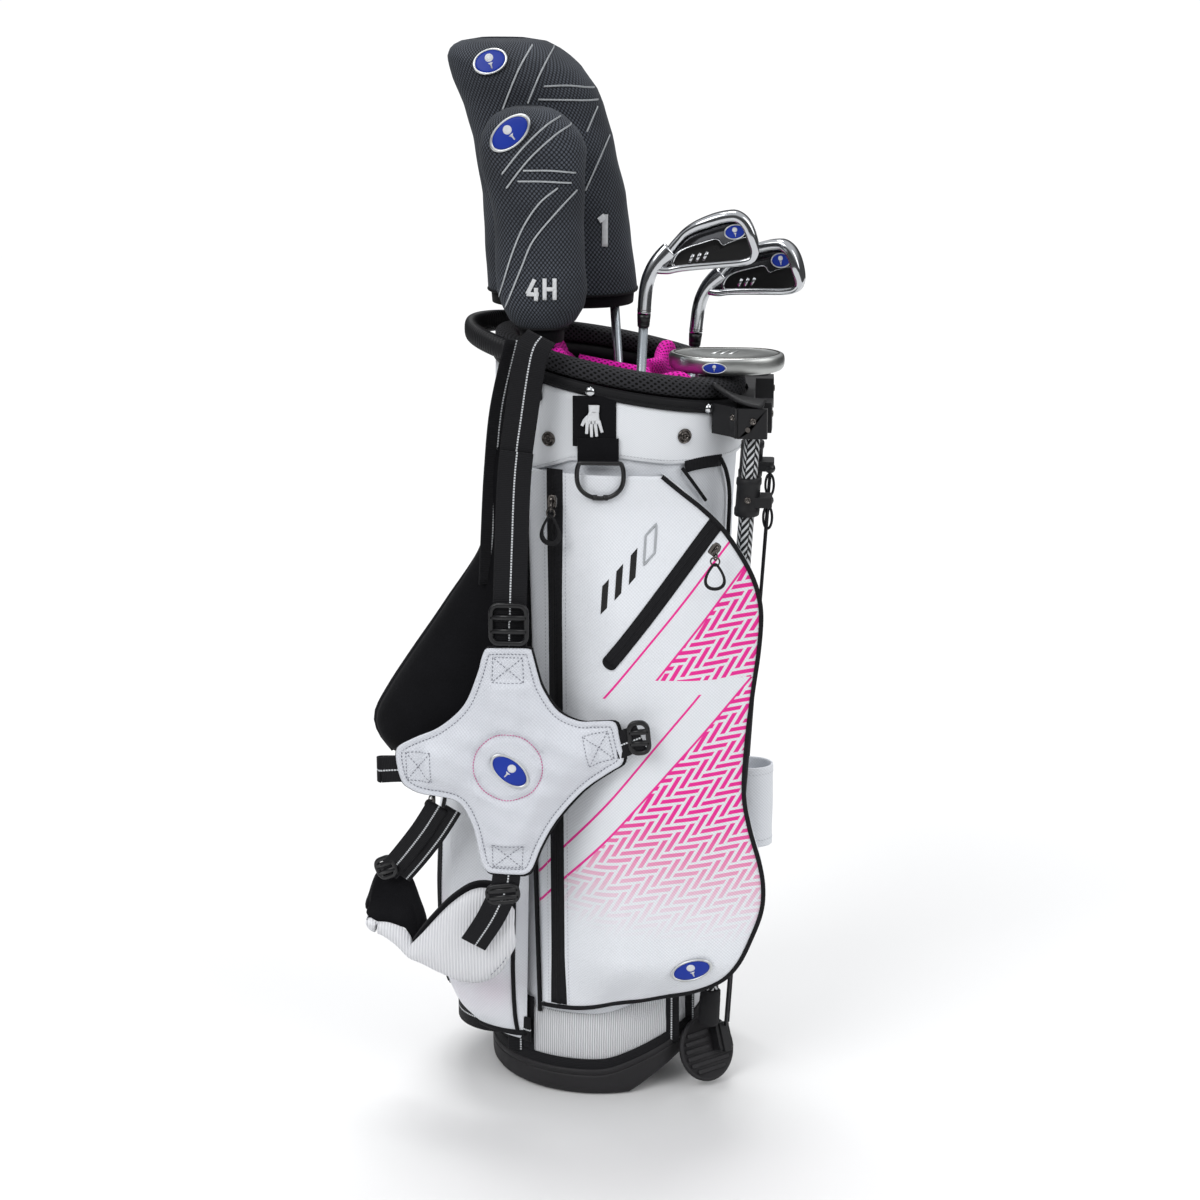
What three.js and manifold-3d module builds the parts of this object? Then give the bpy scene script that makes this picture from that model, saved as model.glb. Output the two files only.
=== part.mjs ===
// Junior golf set: a stand bag with a driver, a hybrid, two irons and a putter.
// Millimetres, +Z up. The origin is the middle of the base, on the ground.
// +X is the leg side, -X the handle and strap side, -Y the side with the big pocket.
import * as THREE from 'three';
import { mergeVertices } from 'three/addons/utils/BufferGeometryUtils.js';
import Module from 'manifold-3d';

const wasm = await Module();
wasm.setup();

// Driving dimensions
const GAP = 0.3;               // clearance between pieces that touch
const SEGMENTS = 40;           // facets round the bag
const BASE_RADIUS = 105;       // fabric tube at the ground
const FLARE_START = 66;
const TOP_Z = 720;             // height at which the top sizes below hold
const TOP_SHIFT = 20;          // the tube leans out to the leg side by this much at the top
const TOP_RX = 118;
const TOP_RY = 98;
const TUBE_WALL = 4;
const RIM_Z = 741;             // height of the rim plane over the origin
const RIM_SLOPE = 0.19;        // the rim falls to the leg side
const ROLL_HEIGHT = 19;
const SKIRT_DEPTH = 30;        // the collar's lower edge, below the rim plane
const BOOT_RADIUS = 110;
const BOOT_WALL = 4.4;
const BOOT_FLOOR = 5;
const BEVEL_START = 37;        // the underside rises from here, so the bag can lean on it
const BEVEL_SLOPE = 0.6;
const LEG_SPREAD = 76;         // each leg's distance from the middle plane
const LEG_PIVOT = [150, 680];  // x and z of the leg pivots
const LEG_END = [116, 105];    // x and z of the tubes' lower ends
const LEG_RADIUS = 7.5;
const SPLAY = THREE.MathUtils.degToRad(14);  // the legs swing out to the sides by this yaw
const ROD_INSET = 11.5;        // the push rods hang this far inside the legs, to pass them
const SHAFT_RADIUS = 4.6;
const GRIP_LENGTH = 240;

const golfSet = new THREE.Group();

// ---------------------------------------------------------------- helpers

const at = (x, y, z) => new THREE.Vector3(x, y, z);
const times = (count) => Array.from({ length: count }, (_, i) => i);
const mix = THREE.MathUtils.lerp;

function finish(color, roughness, metalness = 0) {
  return new THREE.MeshStandardMaterial({ color, roughness, metalness });
}

function add(name, geometry, material, group = golfSet) {
  const mesh = new THREE.Mesh(geometry, material);
  mesh.name = name;
  group.add(mesh);
  return mesh;
}

// Triangles that close one ring of points, wound as the ring is.
function capTriangles(ring) {
  const normal = at(0, 0, 0);
  ring.forEach((p, i) => normal.add(p.clone().cross(ring[(i + 1) % ring.length])));
  const [x, y, z] = normal.toArray().map(Math.abs);
  const flat = ring.map((p) => {
    if (z >= x && z >= y) return new THREE.Vector2(p.x, p.y);
    return y >= x ? new THREE.Vector2(p.z, p.x) : new THREE.Vector2(p.y, p.z);
  });
  const ringSign = Math.sign(THREE.ShapeUtils.area(flat));
  return THREE.ShapeUtils.triangulateShape(flat, []).map(([a, b, c]) => {
    const sign = Math.sign(THREE.ShapeUtils.area([flat[a], flat[b], flat[c]]));
    return sign === ringSign ? [a, b, c] : [a, c, b];
  });
}

// A closed body through a row of rings with equal point counts. A looped row joins its last
// ring to its first, and any other row is capped at both ends.
function skin(rings, looped = false) {
  const size = rings[0].length;
  const points = rings.flat();
  const triangles = [];
  const bands = looped ? rings.length : rings.length - 1;
  for (let band = 0; band < bands; band += 1) {
    const low = band * size;
    const high = ((band + 1) % rings.length) * size;
    for (let i = 0; i < size; i += 1) {
      const j = (i + 1) % size;
      triangles.push([low + i, low + j, high + j], [low + i, high + j, high + i]);
    }
  }
  if (!looped) {
    const last = (rings.length - 1) * size;
    capTriangles(rings[0]).forEach(([a, b, c]) => triangles.push([a, c, b]));
    capTriangles(rings.at(-1)).forEach((t) => triangles.push(t.map((i) => i + last)));
  }
  const volume = triangles.reduce((sum, [a, b, c]) => (
    sum + points[a].dot(points[b].clone().cross(points[c]))), 0);
  const index = triangles.flatMap(([a, b, c]) => (volume > 0 ? [a, b, c] : [a, c, b]));
  const geometry = new THREE.BufferGeometry();
  geometry.setAttribute('position', new THREE.Float32BufferAttribute(
    points.flatMap((p) => p.toArray()), 3));
  geometry.setIndex(index);
  return geometry;
}

function toSolid(geometry) {
  const bare = geometry.clone();
  bare.deleteAttribute('normal');
  bare.deleteAttribute('uv');
  const merged = mergeVertices(bare, 1e-4);
  return new wasm.Manifold(new wasm.Mesh({
    numProp: 3,
    vertProperties: Float32Array.from(merged.attributes.position.array),
    triVerts: Uint32Array.from(merged.index.array),
  }));
}

function toGeometry(solid) {
  const { vertProperties, triVerts, numProp } = solid.getMesh();
  const geometry = new THREE.BufferGeometry();
  const positions = [];
  for (let i = 0; i < vertProperties.length; i += numProp) {
    positions.push(vertProperties[i], vertProperties[i + 1], vertProperties[i + 2]);
  }
  geometry.setAttribute('position', new THREE.Float32BufferAttribute(positions, 3));
  geometry.setIndex(Array.from(triVerts));
  return geometry;
}

const combine = (method) => (first, ...others) => toGeometry(
  others.reduce((solid, other) => solid[method](toSolid(other)), toSolid(first)));
const join = combine('add');
const cut = combine('subtract');
const common = combine('intersect');

// A prism: an outline of [u, v] points swept along one axis.
function prism(outline, axis, low, high) {
  const place = {
    x: (u, v, w) => at(w, u, v),
    y: (u, v, w) => at(u, w, v),
    z: (u, v, w) => at(u, v, w),
  }[axis];
  return skin([low, high].map((w) => outline.map(([u, v]) => place(u, v, w))));
}

function bar(start, end, radius, sides = 12, endRadius = radius) {
  const along = end.clone().sub(start);
  const geometry = new THREE.CylinderGeometry(endRadius, radius, along.length(), sides);
  geometry.applyQuaternion(new THREE.Quaternion().setFromUnitVectors(
    at(0, 1, 0), along.clone().normalize()));
  const middle = start.clone().lerp(end, 0.5);
  return geometry.translate(middle.x, middle.y, middle.z);
}

function block(x, y, z) {
  const size = [x, y, z].map(([low, high]) => high - low);
  return new THREE.BoxGeometry(...size).translate(
    (x[0] + x[1]) / 2, (y[0] + y[1]) / 2, (z[0] + z[1]) / 2);
}

// A lathe body round Z from [radius, z] points that start and end on the axis.
function turned(profile, sides = 16) {
  return new THREE.LatheGeometry(profile.map(([r, z]) => new THREE.Vector2(r, z)), sides)
    .rotateX(Math.PI / 2);
}

function curvePoints(points, count, closed = false) {
  const curve = new THREE.CatmullRomCurve3(points.map((p) => at(...p)), closed, 'centripetal');
  const spaced = curve.getSpacedPoints(count);
  return closed ? spaced.slice(0, -1) : spaced;
}

// An outline through a few [u, v] points, as [u, v] points again.
function smoothOutline(points, count) {
  return curvePoints(points.map(([u, v]) => [u, v, 0]), count, true).map((p) => [p.x, p.y]);
}

// A flat strap or pad: a rectangle or a rounded section carried along a path. Each path entry is
// [x, y, z, width], and across is the direction of the width.
function strap(path, thickness, across, steps, rounded = false) {
  const centres = curvePoints(path.map(([x, y, z]) => [x, y, z]), steps);
  const widths = curvePoints(path.map(([x, y, z, w]) => [w, 0, z * 0.001]), steps);
  const corners = rounded
    ? times(10).map((i) => [Math.cos((i / 10) * 2 * Math.PI), Math.sin((i / 10) * 2 * Math.PI)])
    : [[-1, -1], [1, -1], [1, 1], [-1, 1]];
  return skin(centres.map((centre, i) => {
    const before = centres[Math.max(i - 1, 0)];
    const after = centres[Math.min(i + 1, steps)];
    const along = after.clone().sub(before).normalize();
    const wide = across.clone().addScaledVector(along, -across.dot(along)).normalize();
    const thick = along.clone().cross(wide);
    return corners.map(([u, v]) => centre.clone()
      .addScaledVector(wide, (u * widths[i].x) / 2)
      .addScaledVector(thick, (v * thickness) / 2));
  }));
}

// ---------------------------------------------------------------- shape of the bag

// The tube stands straight up to FLARE_START and changes evenly from there to its top.
function tubeAt(z) {
  const share = Math.max(0, z - FLARE_START) / (TOP_Z - FLARE_START);
  return {
    middle: TOP_SHIFT * share,
    rx: mix(BASE_RADIUS, TOP_RX, share),
    ry: mix(BASE_RADIUS, TOP_RY, share),
  };
}

function tubePoint(angle, z, offset = 0) {
  const { middle, rx, ry } = tubeAt(z);
  return at(middle + (rx + offset) * Math.cos(angle), (ry + offset) * Math.sin(angle), z);
}

// How far the tube's surface stands out to -Y at x.
function tubeDepth(x, z) {
  const { middle, rx, ry } = tubeAt(z);
  return ry * Math.sqrt(Math.max(0, 1 - ((x - middle) / rx) ** 2));
}

const rimHeight = (x) => RIM_Z - RIM_SLOPE * x;
const bevelHeight = (x) => BEVEL_SLOPE * Math.max(0, x - BEVEL_START);
const angles = times(SEGMENTS).map((i) => (i / SEGMENTS) * 2 * Math.PI);

// A hoop round the bag's rim from a section of [offset, height over the rim plane] points.
function rimHoop(section) {
  return skin(angles.map((angle) => section.map(([offset, height]) => {
    const x = TOP_SHIFT + (TOP_RX + offset) * Math.cos(angle);
    return at(x, (TOP_RY + offset) * Math.sin(angle), rimHeight(x) + height);
  })), true);
}

// A solid plug of the tube's shape, used to cut pieces that lie against the bag.
function tubePlug(offset, low = -20, high = 800) {
  const levels = [low, FLARE_START, high];
  return skin(levels.map((z) => angles.map((angle) => tubePoint(angle, z, offset))));
}

// ---------------------------------------------------------------- bag

function makeBoot() {
  const reach = 140;
  const side = (lift, topLift) => [
    [-reach, lift],
    [BEVEL_START, lift],
    [reach, lift + BEVEL_SLOPE * (reach - BEVEL_START)],
    [reach, 73 + topLift],
    [15, 28 + topLift],
    [-reach, 28 + topLift],
  ];
  const outer = turned([[0, 0], [104, 0], [BOOT_RADIUS, 8], [BOOT_RADIUS, 100], [0, 100]], SEGMENTS);
  const inner = turned([[0, 0], [BOOT_RADIUS - BOOT_WALL, 0], [BOOT_RADIUS - BOOT_WALL, 160], [0, 160]],
    SEGMENTS);
  const cup = common(outer, prism(side(0, 0), 'y', -reach, reach));
  const hollow = common(inner, prism(side(BOOT_FLOOR, 60), 'y', -reach, reach));
  add('base_boot', cut(cup, hollow), finish('#272628', 0.6));
}

function makeTube() {
  const tubeTop = (x) => rimHeight(x) - SKIRT_DEPTH + 4.5;
  const floorUnder = (x) => BOOT_FLOOR + bevelHeight(x) + 1.5;
  add('bag_tube', skin(angles.map((angle) => {
    const foot = tubePoint(angle, floorUnder(BASE_RADIUS * Math.cos(angle)));
    const footIn = tubePoint(angle, foot.z, -TUBE_WALL);
    const head = tubePoint(angle, tubeTop(TOP_SHIFT + TOP_RX * Math.cos(angle)));
    const headIn = tubePoint(angle, head.z, -TUBE_WALL);
    const bend = tubePoint(angle, FLARE_START);
    const bendIn = tubePoint(angle, FLARE_START, -TUBE_WALL);
    return [foot, bend, head, headIn, bendIn, footIn];
  }), true), finish('#e8ebf0', 0.85));
}

function makeCuff() {
  const low = 640;
  add('cuff_band', skin(angles.map((angle) => {
    const top = rimHeight(TOP_SHIFT + TOP_RX * Math.cos(angle)) - SKIRT_DEPTH - 0.8;
    return [[GAP, low], [2.8, low], [2.8, top], [GAP, top]].map(([offset, z]) => (
      tubePoint(angle, z, offset)));
  }), true), finish('#e9ecf0', 0.7));
}

function makeRim() {
  const shelf = -ROLL_HEIGHT - 0.4;
  add('top_collar', rimHoop([[0.5, -SKIRT_DEPTH], [5, -SKIRT_DEPTH], [5.5, shelf], [-19, shelf],
    [-19, -34], [-8.6, -34], [-8.6, -24], [0.5, -24]]), finish('#1c1c1e', 0.55));
  const roll = times(12).map((i) => {
    const turn = (i / 12) * 2 * Math.PI;
    const square = (value) => Math.sign(value) * Math.abs(value) ** 0.7;
    return [-8.5 + 10.5 * square(Math.cos(turn)), (ROLL_HEIGHT / 2) * (square(Math.sin(turn)) - 1)];
  });
  add('rim_roll', rimHoop(roll),
    finish('#1f1f22', 0.95));
}

function makeDivider() {
  const bars = [
    [[-22, -3], [45, 0]],
    [[45, 0], [96, -84]],
    [[45, 0], [76, 92]],
    [[-22, -3], [-38, -104]],
    [[-22, -3], [-92, 57]],
  ];
  const [low, high] = [-52, -6];
  const half = 6;
  const ribs = bars.map(([[ax, ay], [bx, by]]) => {
    const length = Math.hypot(bx - ax, by - ay);
    const [ux, uy] = [((bx - ax) / length) * half, ((by - ay) / length) * half];
    return prism([
      [ax - ux - uy, ay - uy + ux],
      [ax - ux + uy, ay - uy - ux],
      [bx + uy, by - ux],
      [bx - uy, by + ux],
    ], 'z', low, high);
  });
  const bound = prism(angles.map((angle) => [
    TOP_SHIFT + (TOP_RX - 20.5) * Math.cos(angle), (TOP_RY - 20.5) * Math.sin(angle),
  ]), 'z', low, high);
  const divider = common(join(...ribs), bound);
  const { position } = divider.attributes;
  times(position.count).forEach((i) => (
    position.setZ(i, position.getZ(i) + rimHeight(position.getX(i)))));
  add('divider', divider, finish('#bd1c8a', 0.9));
}

function makeHandle() {
  const [from, to] = [125, 235].map(THREE.MathUtils.degToRad);
  const steps = 20;
  const corners = times(8).map((i) => (i / 8) * 2 * Math.PI);
  const centre = (turn) => {
    const x = TOP_SHIFT + 144 * Math.cos(turn);
    return at(x, 105 * Math.sin(turn), rimHeight(x) - 8);
  };
  const grip = skin(times(steps + 1).map((i) => {
    const turn = mix(from, to, i / steps);
    const out = at(Math.cos(turn), Math.sin(turn), 0);
    return corners.map((c) => centre(turn).addScaledVector(out, 6.5 * Math.cos(c))
      .add(at(0, 0, 10 * Math.sin(c))));
  }));
  const posts = [from, to].map((turn) => {
    const top = centre(turn);
    const out = at(Math.cos(turn), Math.sin(turn), 0);
    return bar(top.clone(), top.clone().addScaledVector(out, 2).setZ(706), 7, 10);
  });
  add('grab_handle', cut(join(grip, ...posts), rimHoop([[-30, -75], [5.9, -75], [5.9, 12], [-30, 12]])),
    finish('#282829', 0.5));
}

// The big pocket's right-hand edge, from its bottom to its top, as [z, x].
const POCKET_EDGE = [[96, -10], [106, 34], [114, 78], [130, 121], [152, 143], [184, 158], [210, 166],
  [234, 167], [258, 163], [294, 153], [330, 147], [380, 149], [430, 154], [470, 159], [505, 161],
  [527, 158], [546, 151], [565, 140], [588, 123], [606, 104], [622, 84], [634, 70]];
const POCKET_LEFT = -57;
const LEG_CLEAR = 100;         // the pocket's overhang stays this far out, clear of the near leg

function pocketEdgeAt(z) {
  const next = POCKET_EDGE.findIndex(([height]) => height > z);
  if (next < 1) return next === 0 ? POCKET_EDGE[0][1] : POCKET_EDGE.at(-1)[1];
  const [[z0, x0], [z1, x1]] = [POCKET_EDGE[next - 1], POCKET_EDGE[next]];
  return mix(x0, x1, (z - z0) / (z1 - z0));
}

function makeGarmentPocket() {
  const columns = 12;
  const { smoothstep } = THREE.MathUtils;
  const rings = POCKET_EDGE.map(([z]) => {
    const right = pocketEdgeAt(z);
    const back = (x) => Math.max(tubeDepth(x, z) + 3.4, LEG_CLEAR * smoothstep(x, 62, 92));
    const fade = smoothstep(z, 90, 160) * (1 - smoothstep(z, 500, 612));
    const swell = (x) => 3.5 + (2 + 33 * fade) * smoothstep(x, -45, 30) * (1 - 0.5 * smoothstep(x, 90, 168));
    const xs = times(columns + 1).map((i) => mix(POCKET_LEFT, right, i / columns));
    return [
      ...xs.map((x) => at(x, -back(x) - swell(x) - 0.5, z)),
      ...xs.toReversed().map((x) => at(x, -back(x), z)),
    ];
  });
  add('garment_pocket', skin(rings), finish('#e9e4ea', 0.85));
}

function makeBallPocket() {
  const levels = [[52, 0.25], [70, 0.62], [95, 0.85], [130, 1], [200, 1], [270, 0.97], [305, 0.86],
    [325, 0.6], [334, 0.25]];
  const columns = 14;
  const [from, to] = [127, 233].map(THREE.MathUtils.degToRad);
  const rings = levels.map(([z, fullness]) => {
    const turns = times(columns + 1).map((i) => mix(from, to, i / columns));
    const depth = (i) => 5 + 55 * fullness * Math.min(1, Math.sin((i / columns) * Math.PI) * 1.5);
    return [
      ...turns.map((turn, i) => tubePoint(turn, z, 1.6 + depth(i))),
      ...turns.toReversed().map((turn) => tubePoint(turn, z, 1.6)),
    ];
  });
  add('ball_pocket', skin(rings), finish('#dcdde2', 0.85));
}

function makeUmbrellaSleeve() {
  const oval = (rx, ry) => times(20).map((i) => {
    const turn = (i / 20) * 2 * Math.PI;
    return [150 + rx * Math.cos(turn), -35 + ry * Math.sin(turn)];
  });
  const outer = prism(oval(24, 19), 'z', 247, 330);
  add('umbrella_sleeve', cut(outer, prism(oval(21.5, 16.5), 'z', 240, 340)), finish('#dfe0e4', 0.8));
}

function makeCuffFittings() {
  add('glove_tab', block([-17, 24], [-107, -104.4], [646, 706]), finish('#1b1b1d', 0.9));
  const centre = at(8, -112, 638);
  const path = times(20).map((i) => {
    const turn = (i / 20) * 2 * Math.PI;
    const z = Math.min(12, 22 * Math.sin(turn));
    return at(centre.x + 22 * Math.cos(turn), centre.y, centre.z + z);
  });
  const ring = skin(path.map((p, i) => {
    const turn = (i / 20) * 2 * Math.PI;
    const out = at(Math.cos(turn), 0, Math.sin(turn));
    return times(8).map((k) => {
      const roll = (k / 8) * 2 * Math.PI;
      return p.clone().addScaledVector(out, 2.2 * Math.cos(roll)).add(at(0, 2.2 * Math.sin(roll), 0));
    });
  }), true);
  add('d_ring', ring, finish('#303033', 0.35));
  [['snap_left', -42], ['snap_right', 84]].forEach(([name, x]) => {
    const turn = -Math.acos((x - TOP_SHIFT) / TOP_RX);
    const seat = tubePoint(turn, 666, 3.1);
    const out = at(Math.cos(turn) / TOP_RX, Math.sin(turn) / TOP_RY, 0).normalize();
    add(name, bar(seat, seat.clone().addScaledVector(out, 3), 7, 16, 6), finish('#3a3230', 0.3, 0.8));
  });
}

// ---------------------------------------------------------------- zips

// A slider on the zip line, and the pull that hangs from it.
function makeZip(name, seat, out) {
  const side = at(0, 0, 1).cross(out).normalize();
  const body = bar(seat, seat.clone().addScaledVector(out, 4), 5, 8);
  add(`${name}_slider`, body, finish('#2c2c2e', 0.4, 0.3));
  const hang = seat.clone().addScaledVector(out, 6.8).add(at(0, 0, -2));
  const loop = times(16).map((i) => {
    const turn = (i / 16) * 2 * Math.PI;
    const narrow = 0.65 - 0.35 * Math.sin(turn);
    const middle = hang.clone().addScaledVector(side, 14 * narrow * Math.cos(turn))
      .add(at(0, 0, -20 + 19 * Math.sin(turn)));
    const outward = side.clone().multiplyScalar(Math.cos(turn)).add(at(0, 0, Math.sin(turn)));
    return times(6).map((k) => {
      const roll = (k / 6) * 2 * Math.PI;
      return middle.clone().addScaledVector(outward, 1.7 * Math.cos(roll))
        .addScaledVector(out, 1.7 * Math.sin(roll));
    });
  });
  add(`${name}_pull`, skin(loop, true), finish('#252527', 0.6));
}

// ---------------------------------------------------------------- stand

// A bar along the axis that a leg turns on, from and to being distances from its pivot.
function alongPin(side, from, to, radius) {
  const pivot = at(LEG_PIVOT[0], side * LEG_SPREAD, LEG_PIVOT[1]);
  const axis = at(-side * Math.sin(SPLAY), Math.cos(SPLAY), 0);
  return bar(pivot.clone().addScaledVector(axis, from), pivot.clone().addScaledVector(axis, to), radius, 12);
}

function makeLegBracket() {
  const half = [[100, -62], [128, -84], [136, -94], [163, -94], [167, -70], [168, -34]];
  const outline = [...half, ...half.toReversed().map(([x, y]) => [x, -y])];
  const body = prism(outline, 'z', 655, 700);
  const slots = [-1, 1].map((side) => {
    const walls = [side * (LEG_SPREAD - 9.2), side * (LEG_SPREAD + 13.6)].sort((a, b) => a - b);
    return block([134, 190], walls, [640, 710]);
  });
  const holes = [-1, 1].map((side) => alongPin(side, -30, 30, 2.8));
  const seat = rimHoop([[-60, -110], [5.9, -110], [5.9, 20], [-60, 20]]);
  const middleGap = block([150, 190], [-45, 45], [640, 710]);
  add('leg_bracket', cut(body, ...slots, ...holes, seat, tubePlug(5.9), middleGap), finish('#232325', 0.5));
}

function makeLeg(label, side) {
  const y = side * LEG_SPREAD;
  const pivot = at(LEG_PIVOT[0], y, LEG_PIVOT[1]);
  const foot = at(LEG_END[0], y, LEG_END[1]);
  const down = foot.clone().sub(pivot).normalize();
  const head = pivot.clone().addScaledVector(down, -10);
  const alongLeg = (distance) => pivot.clone().addScaledVector(down, distance);
  const bore = bar(head.clone().addScaledVector(down, -5), foot.clone().addScaledVector(down, 5), 6.3);
  const hole = alongPin(side, -20, 20, 2.8);
  add(`leg_tube_${label}`, cut(bar(head, foot, LEG_RADIUS), bore, hole), finish('#302f33', 0.45, 0.4));

  const [pinLow, pinHigh] = side < 0 ? [-19.5, 10.5] : [-10.5, 19.5];
  add(`pivot_pin_${label}`, alongPin(side, pinLow, pinHigh, 2.5), finish('#9a9da1', 0.35, 0.9));

  const collar = join(
    bar(alongLeg(50), alongLeg(87), 12, 16),
    block([150, 170], [y - 4.5 - Math.max(0, side * ROD_INSET), y + 4.5 - Math.min(0, side * ROD_INSET)],
      [602, 612]),
  );
  add(`rod_clamp_${label}`, cut(collar, bar(alongLeg(40), alongLeg(97), LEG_RADIUS + GAP)),
    finish('#232325', 0.5));

  const shoe = foot.clone().addScaledVector(down, GAP + 0.1);
  add(`leg_foot_${label}`, bar(shoe, shoe.clone().addScaledVector(down, 38), 10, 14, 11),
    finish('#1d1d1f', 0.85));

  const rodTop = at(165, y - side * ROD_INSET, 600);
  const rodEnd = side < 0 ? at(131, -66, 61) : at(133, -57, 61);
  add(`push_rod_${label}`, bar(rodTop, rodEnd, 1.75, 8), finish('#2a2a2c', 0.4, 0.5));
}

// The foot plate hangs at the side of the boot and lifts both rods when the bag is leaned on it.
function makeFootPlate() {
  const centre = at(112, -67, 36);
  const normal = at(0.62, -0.705, 0.342).normalize();
  const along = at(0.75, 0.66, 0).normalize();
  const up = normal.clone().cross(along);
  const disc = bar(centre.clone().addScaledVector(normal, -2.5),
    centre.clone().addScaledVector(normal, 2.5), 33, 28);
  const carrier = new THREE.BoxGeometry(16, 24, 12).applyMatrix4(
    new THREE.Matrix4().makeBasis(along, up, normal));
  const seat = centre.clone().addScaledVector(along, 15).addScaledVector(up, 8)
    .addScaledVector(normal, 8);
  add('foot_plate', join(disc, carrier.translate(seat.x, seat.y, seat.z)), finish('#222224', 0.6));
}

// ---------------------------------------------------------------- carrying straps

const ACROSS_X = at(1, 0, 0);
const BACK_PAD = [-76, -156, 365];

// Four arms with flat ends, joined by hollow curves. Measured from the middle of the pad.
const BACK_PAD_OUTLINE = [
  [24, 108], [32, 76], [47, 53], [69, 44], [97, 45], [104, 36],
  [109, 6], [103, -1], [72, -24], [46, -53],
  [22, -104], [12, -111], [-17, -110], [-27, -100], [-35, -62], [-50, -39],
  [-84, -31], [-102, -22], [-107, 8], [-103, 16], [-66, 36], [-40, 62],
  [-29, 90], [-24, 106], [-19, 114], [18, 115],
];

function makeBackPad() {
  const [x, y, z] = BACK_PAD;
  const outline = smoothOutline(BACK_PAD_OUTLINE, 64).map(([u, v]) => [x + u, z + v]);
  add('back_pad', prism(outline, 'y', y - 7, y + 7), finish('#dfe2ea', 0.7));
}

function makeStraps() {
  const black = () => finish('#1a1a1c', 0.85);
  add('upper_webbing', strap([[-60, -110, 752, 31], [-66, -112, 690, 31], [-73, -118, 640, 31],
    [-75, -134, 575, 31], [-74, -150, 527, 31]], 2.4, ACROSS_X, 16), black());
  add('upper_buckle', block([-92, -55], [-160, -150], [484, 524]), finish('#1c1c1e', 0.4));
  add('side_buckle', block([36, 58], [-162, -152], [378, 412]), finish('#1c1c1e', 0.4));
  add('stub_buckle', block([-207, -187], [-161, -152], [340, 372]), finish('#1c1c1e', 0.4));
  add('lower_webbing', strap([[-80, -154, 246, 27], [-86, -154, 232, 27], [-98, -153, 205, 27],
    [-117, -151, 178, 27]], 2.4, at(1, 0, -0.2), 6), black());
  add('upper_shoulder_pad', strap([[-106, -88, 640, 26], [-112, -96, 590, 30], [-126, -106, 545, 44],
    [-146, -116, 490, 70], [-166, -124, 430, 84], [-182, -126, 385, 70], [-192, -128, 362, 40]],
  12, at(1, -0.25, 0.3), 16, true), finish('#161618', 0.95));
  add('lower_shoulder_pad', strap([[-212, -78, 224, 60], [-206, -92, 192, 60], [-180, -108, 172, 56],
    [-148, -118, 172, 56], [-112, -125, 184, 60], [-92, -126, 214, 50]],
  11, at(0.2, 0.5, 1), 18, true), finish('#d9dadd', 0.85));
  add('pad_webbing', strap([[-160, -114, 296, 25], [-174, -112, 270, 25], [-192, -104, 246, 25]],
    2.4, at(1, -0.4, 0.2), 6), black());
}

// ---------------------------------------------------------------- clubs

// A club stands along its own +Z, with the butt of its grip at the origin of its group.
function standClub(name, butt, neck, length, metal) {
  const group = new THREE.Group();
  const along = neck.clone().sub(butt).normalize();
  group.position.copy(butt);
  group.quaternion.setFromUnitVectors(at(0, 0, 1), along);
  golfSet.add(group);
  add(`${name}_grip`, turned([[0, 0], [11, 0], [12.5, 4], [12, 30], [8, GRIP_LENGTH - 4],
    [6.5, GRIP_LENGTH], [0, GRIP_LENGTH]], 14), finish('#202022', 0.9), group);
  add(`${name}_shaft`, bar(at(0, 0, GRIP_LENGTH + GAP), at(0, 0, length), SHAFT_RADIUS),
    finish('#a9b0b5', 0.25, metal), group);
  return group;
}

function makeIron(name, butt, neck, yaw) {
  const length = neck.distanceTo(butt);
  const group = standClub(name, butt, neck, length - 13.4, 1);
  add(`${name}_ferrule`, bar(at(0, 0, length - 13.1), at(0, 0, length - GAP), 5.8, 14, 6.6),
    finish('#111113', 0.3), group);
  const outline = smoothOutline([[7, 40], [13, 55], [30, 80], [50, 93], [70, 102], [84, 102],
    [96, 92], [104, 76], [105, 64], [98, 53], [84, 50], [58, 46], [30, 42], [14, 36]], 40);
  const blade = prism(outline, 'y', -7, 7);
  const pocket = prism(outline.map(([u, v]) => [62 + (u - 60) * 0.66, 68 + (v - 68) * 0.5]), 'y', -9, -3);
  const hosel = strap([[0, 0, 0, 13], [0.5, 0, 20, 13], [3, 0, 36, 13.5], [10, 0, 50, 15],
    [22, 0, 62, 15]], 13, at(1, 0, 0), 10, true);
  const head = add(`${name}_head`, cut(join(blade, hosel), pocket), finish('#acadaf', 0.2, 1), group);
  head.position.z = length;
  head.rotation.z = yaw;
}

// A cover is a sock, open at its mouth: rings up the outside, and down the inside.
function coverShell(levels, wall) {
  const ring = ([z, left, right, y, depth], inset) => times(20).map((i) => {
    const turn = (i / 20) * 2 * Math.PI;
    const half = (right - left) / 2 - inset;
    return at((left + right) / 2 + half * Math.cos(turn), y + (depth - inset) * Math.sin(turn),
      z - inset * (z === levels.at(-1)[0] ? 1 : 0));
  });
  const outside = levels.map((level) => ring(level, 0));
  const inside = levels.toReversed().map((level) => ring(level, wall));
  return skin([...inside, ...outside]);
}

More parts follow.
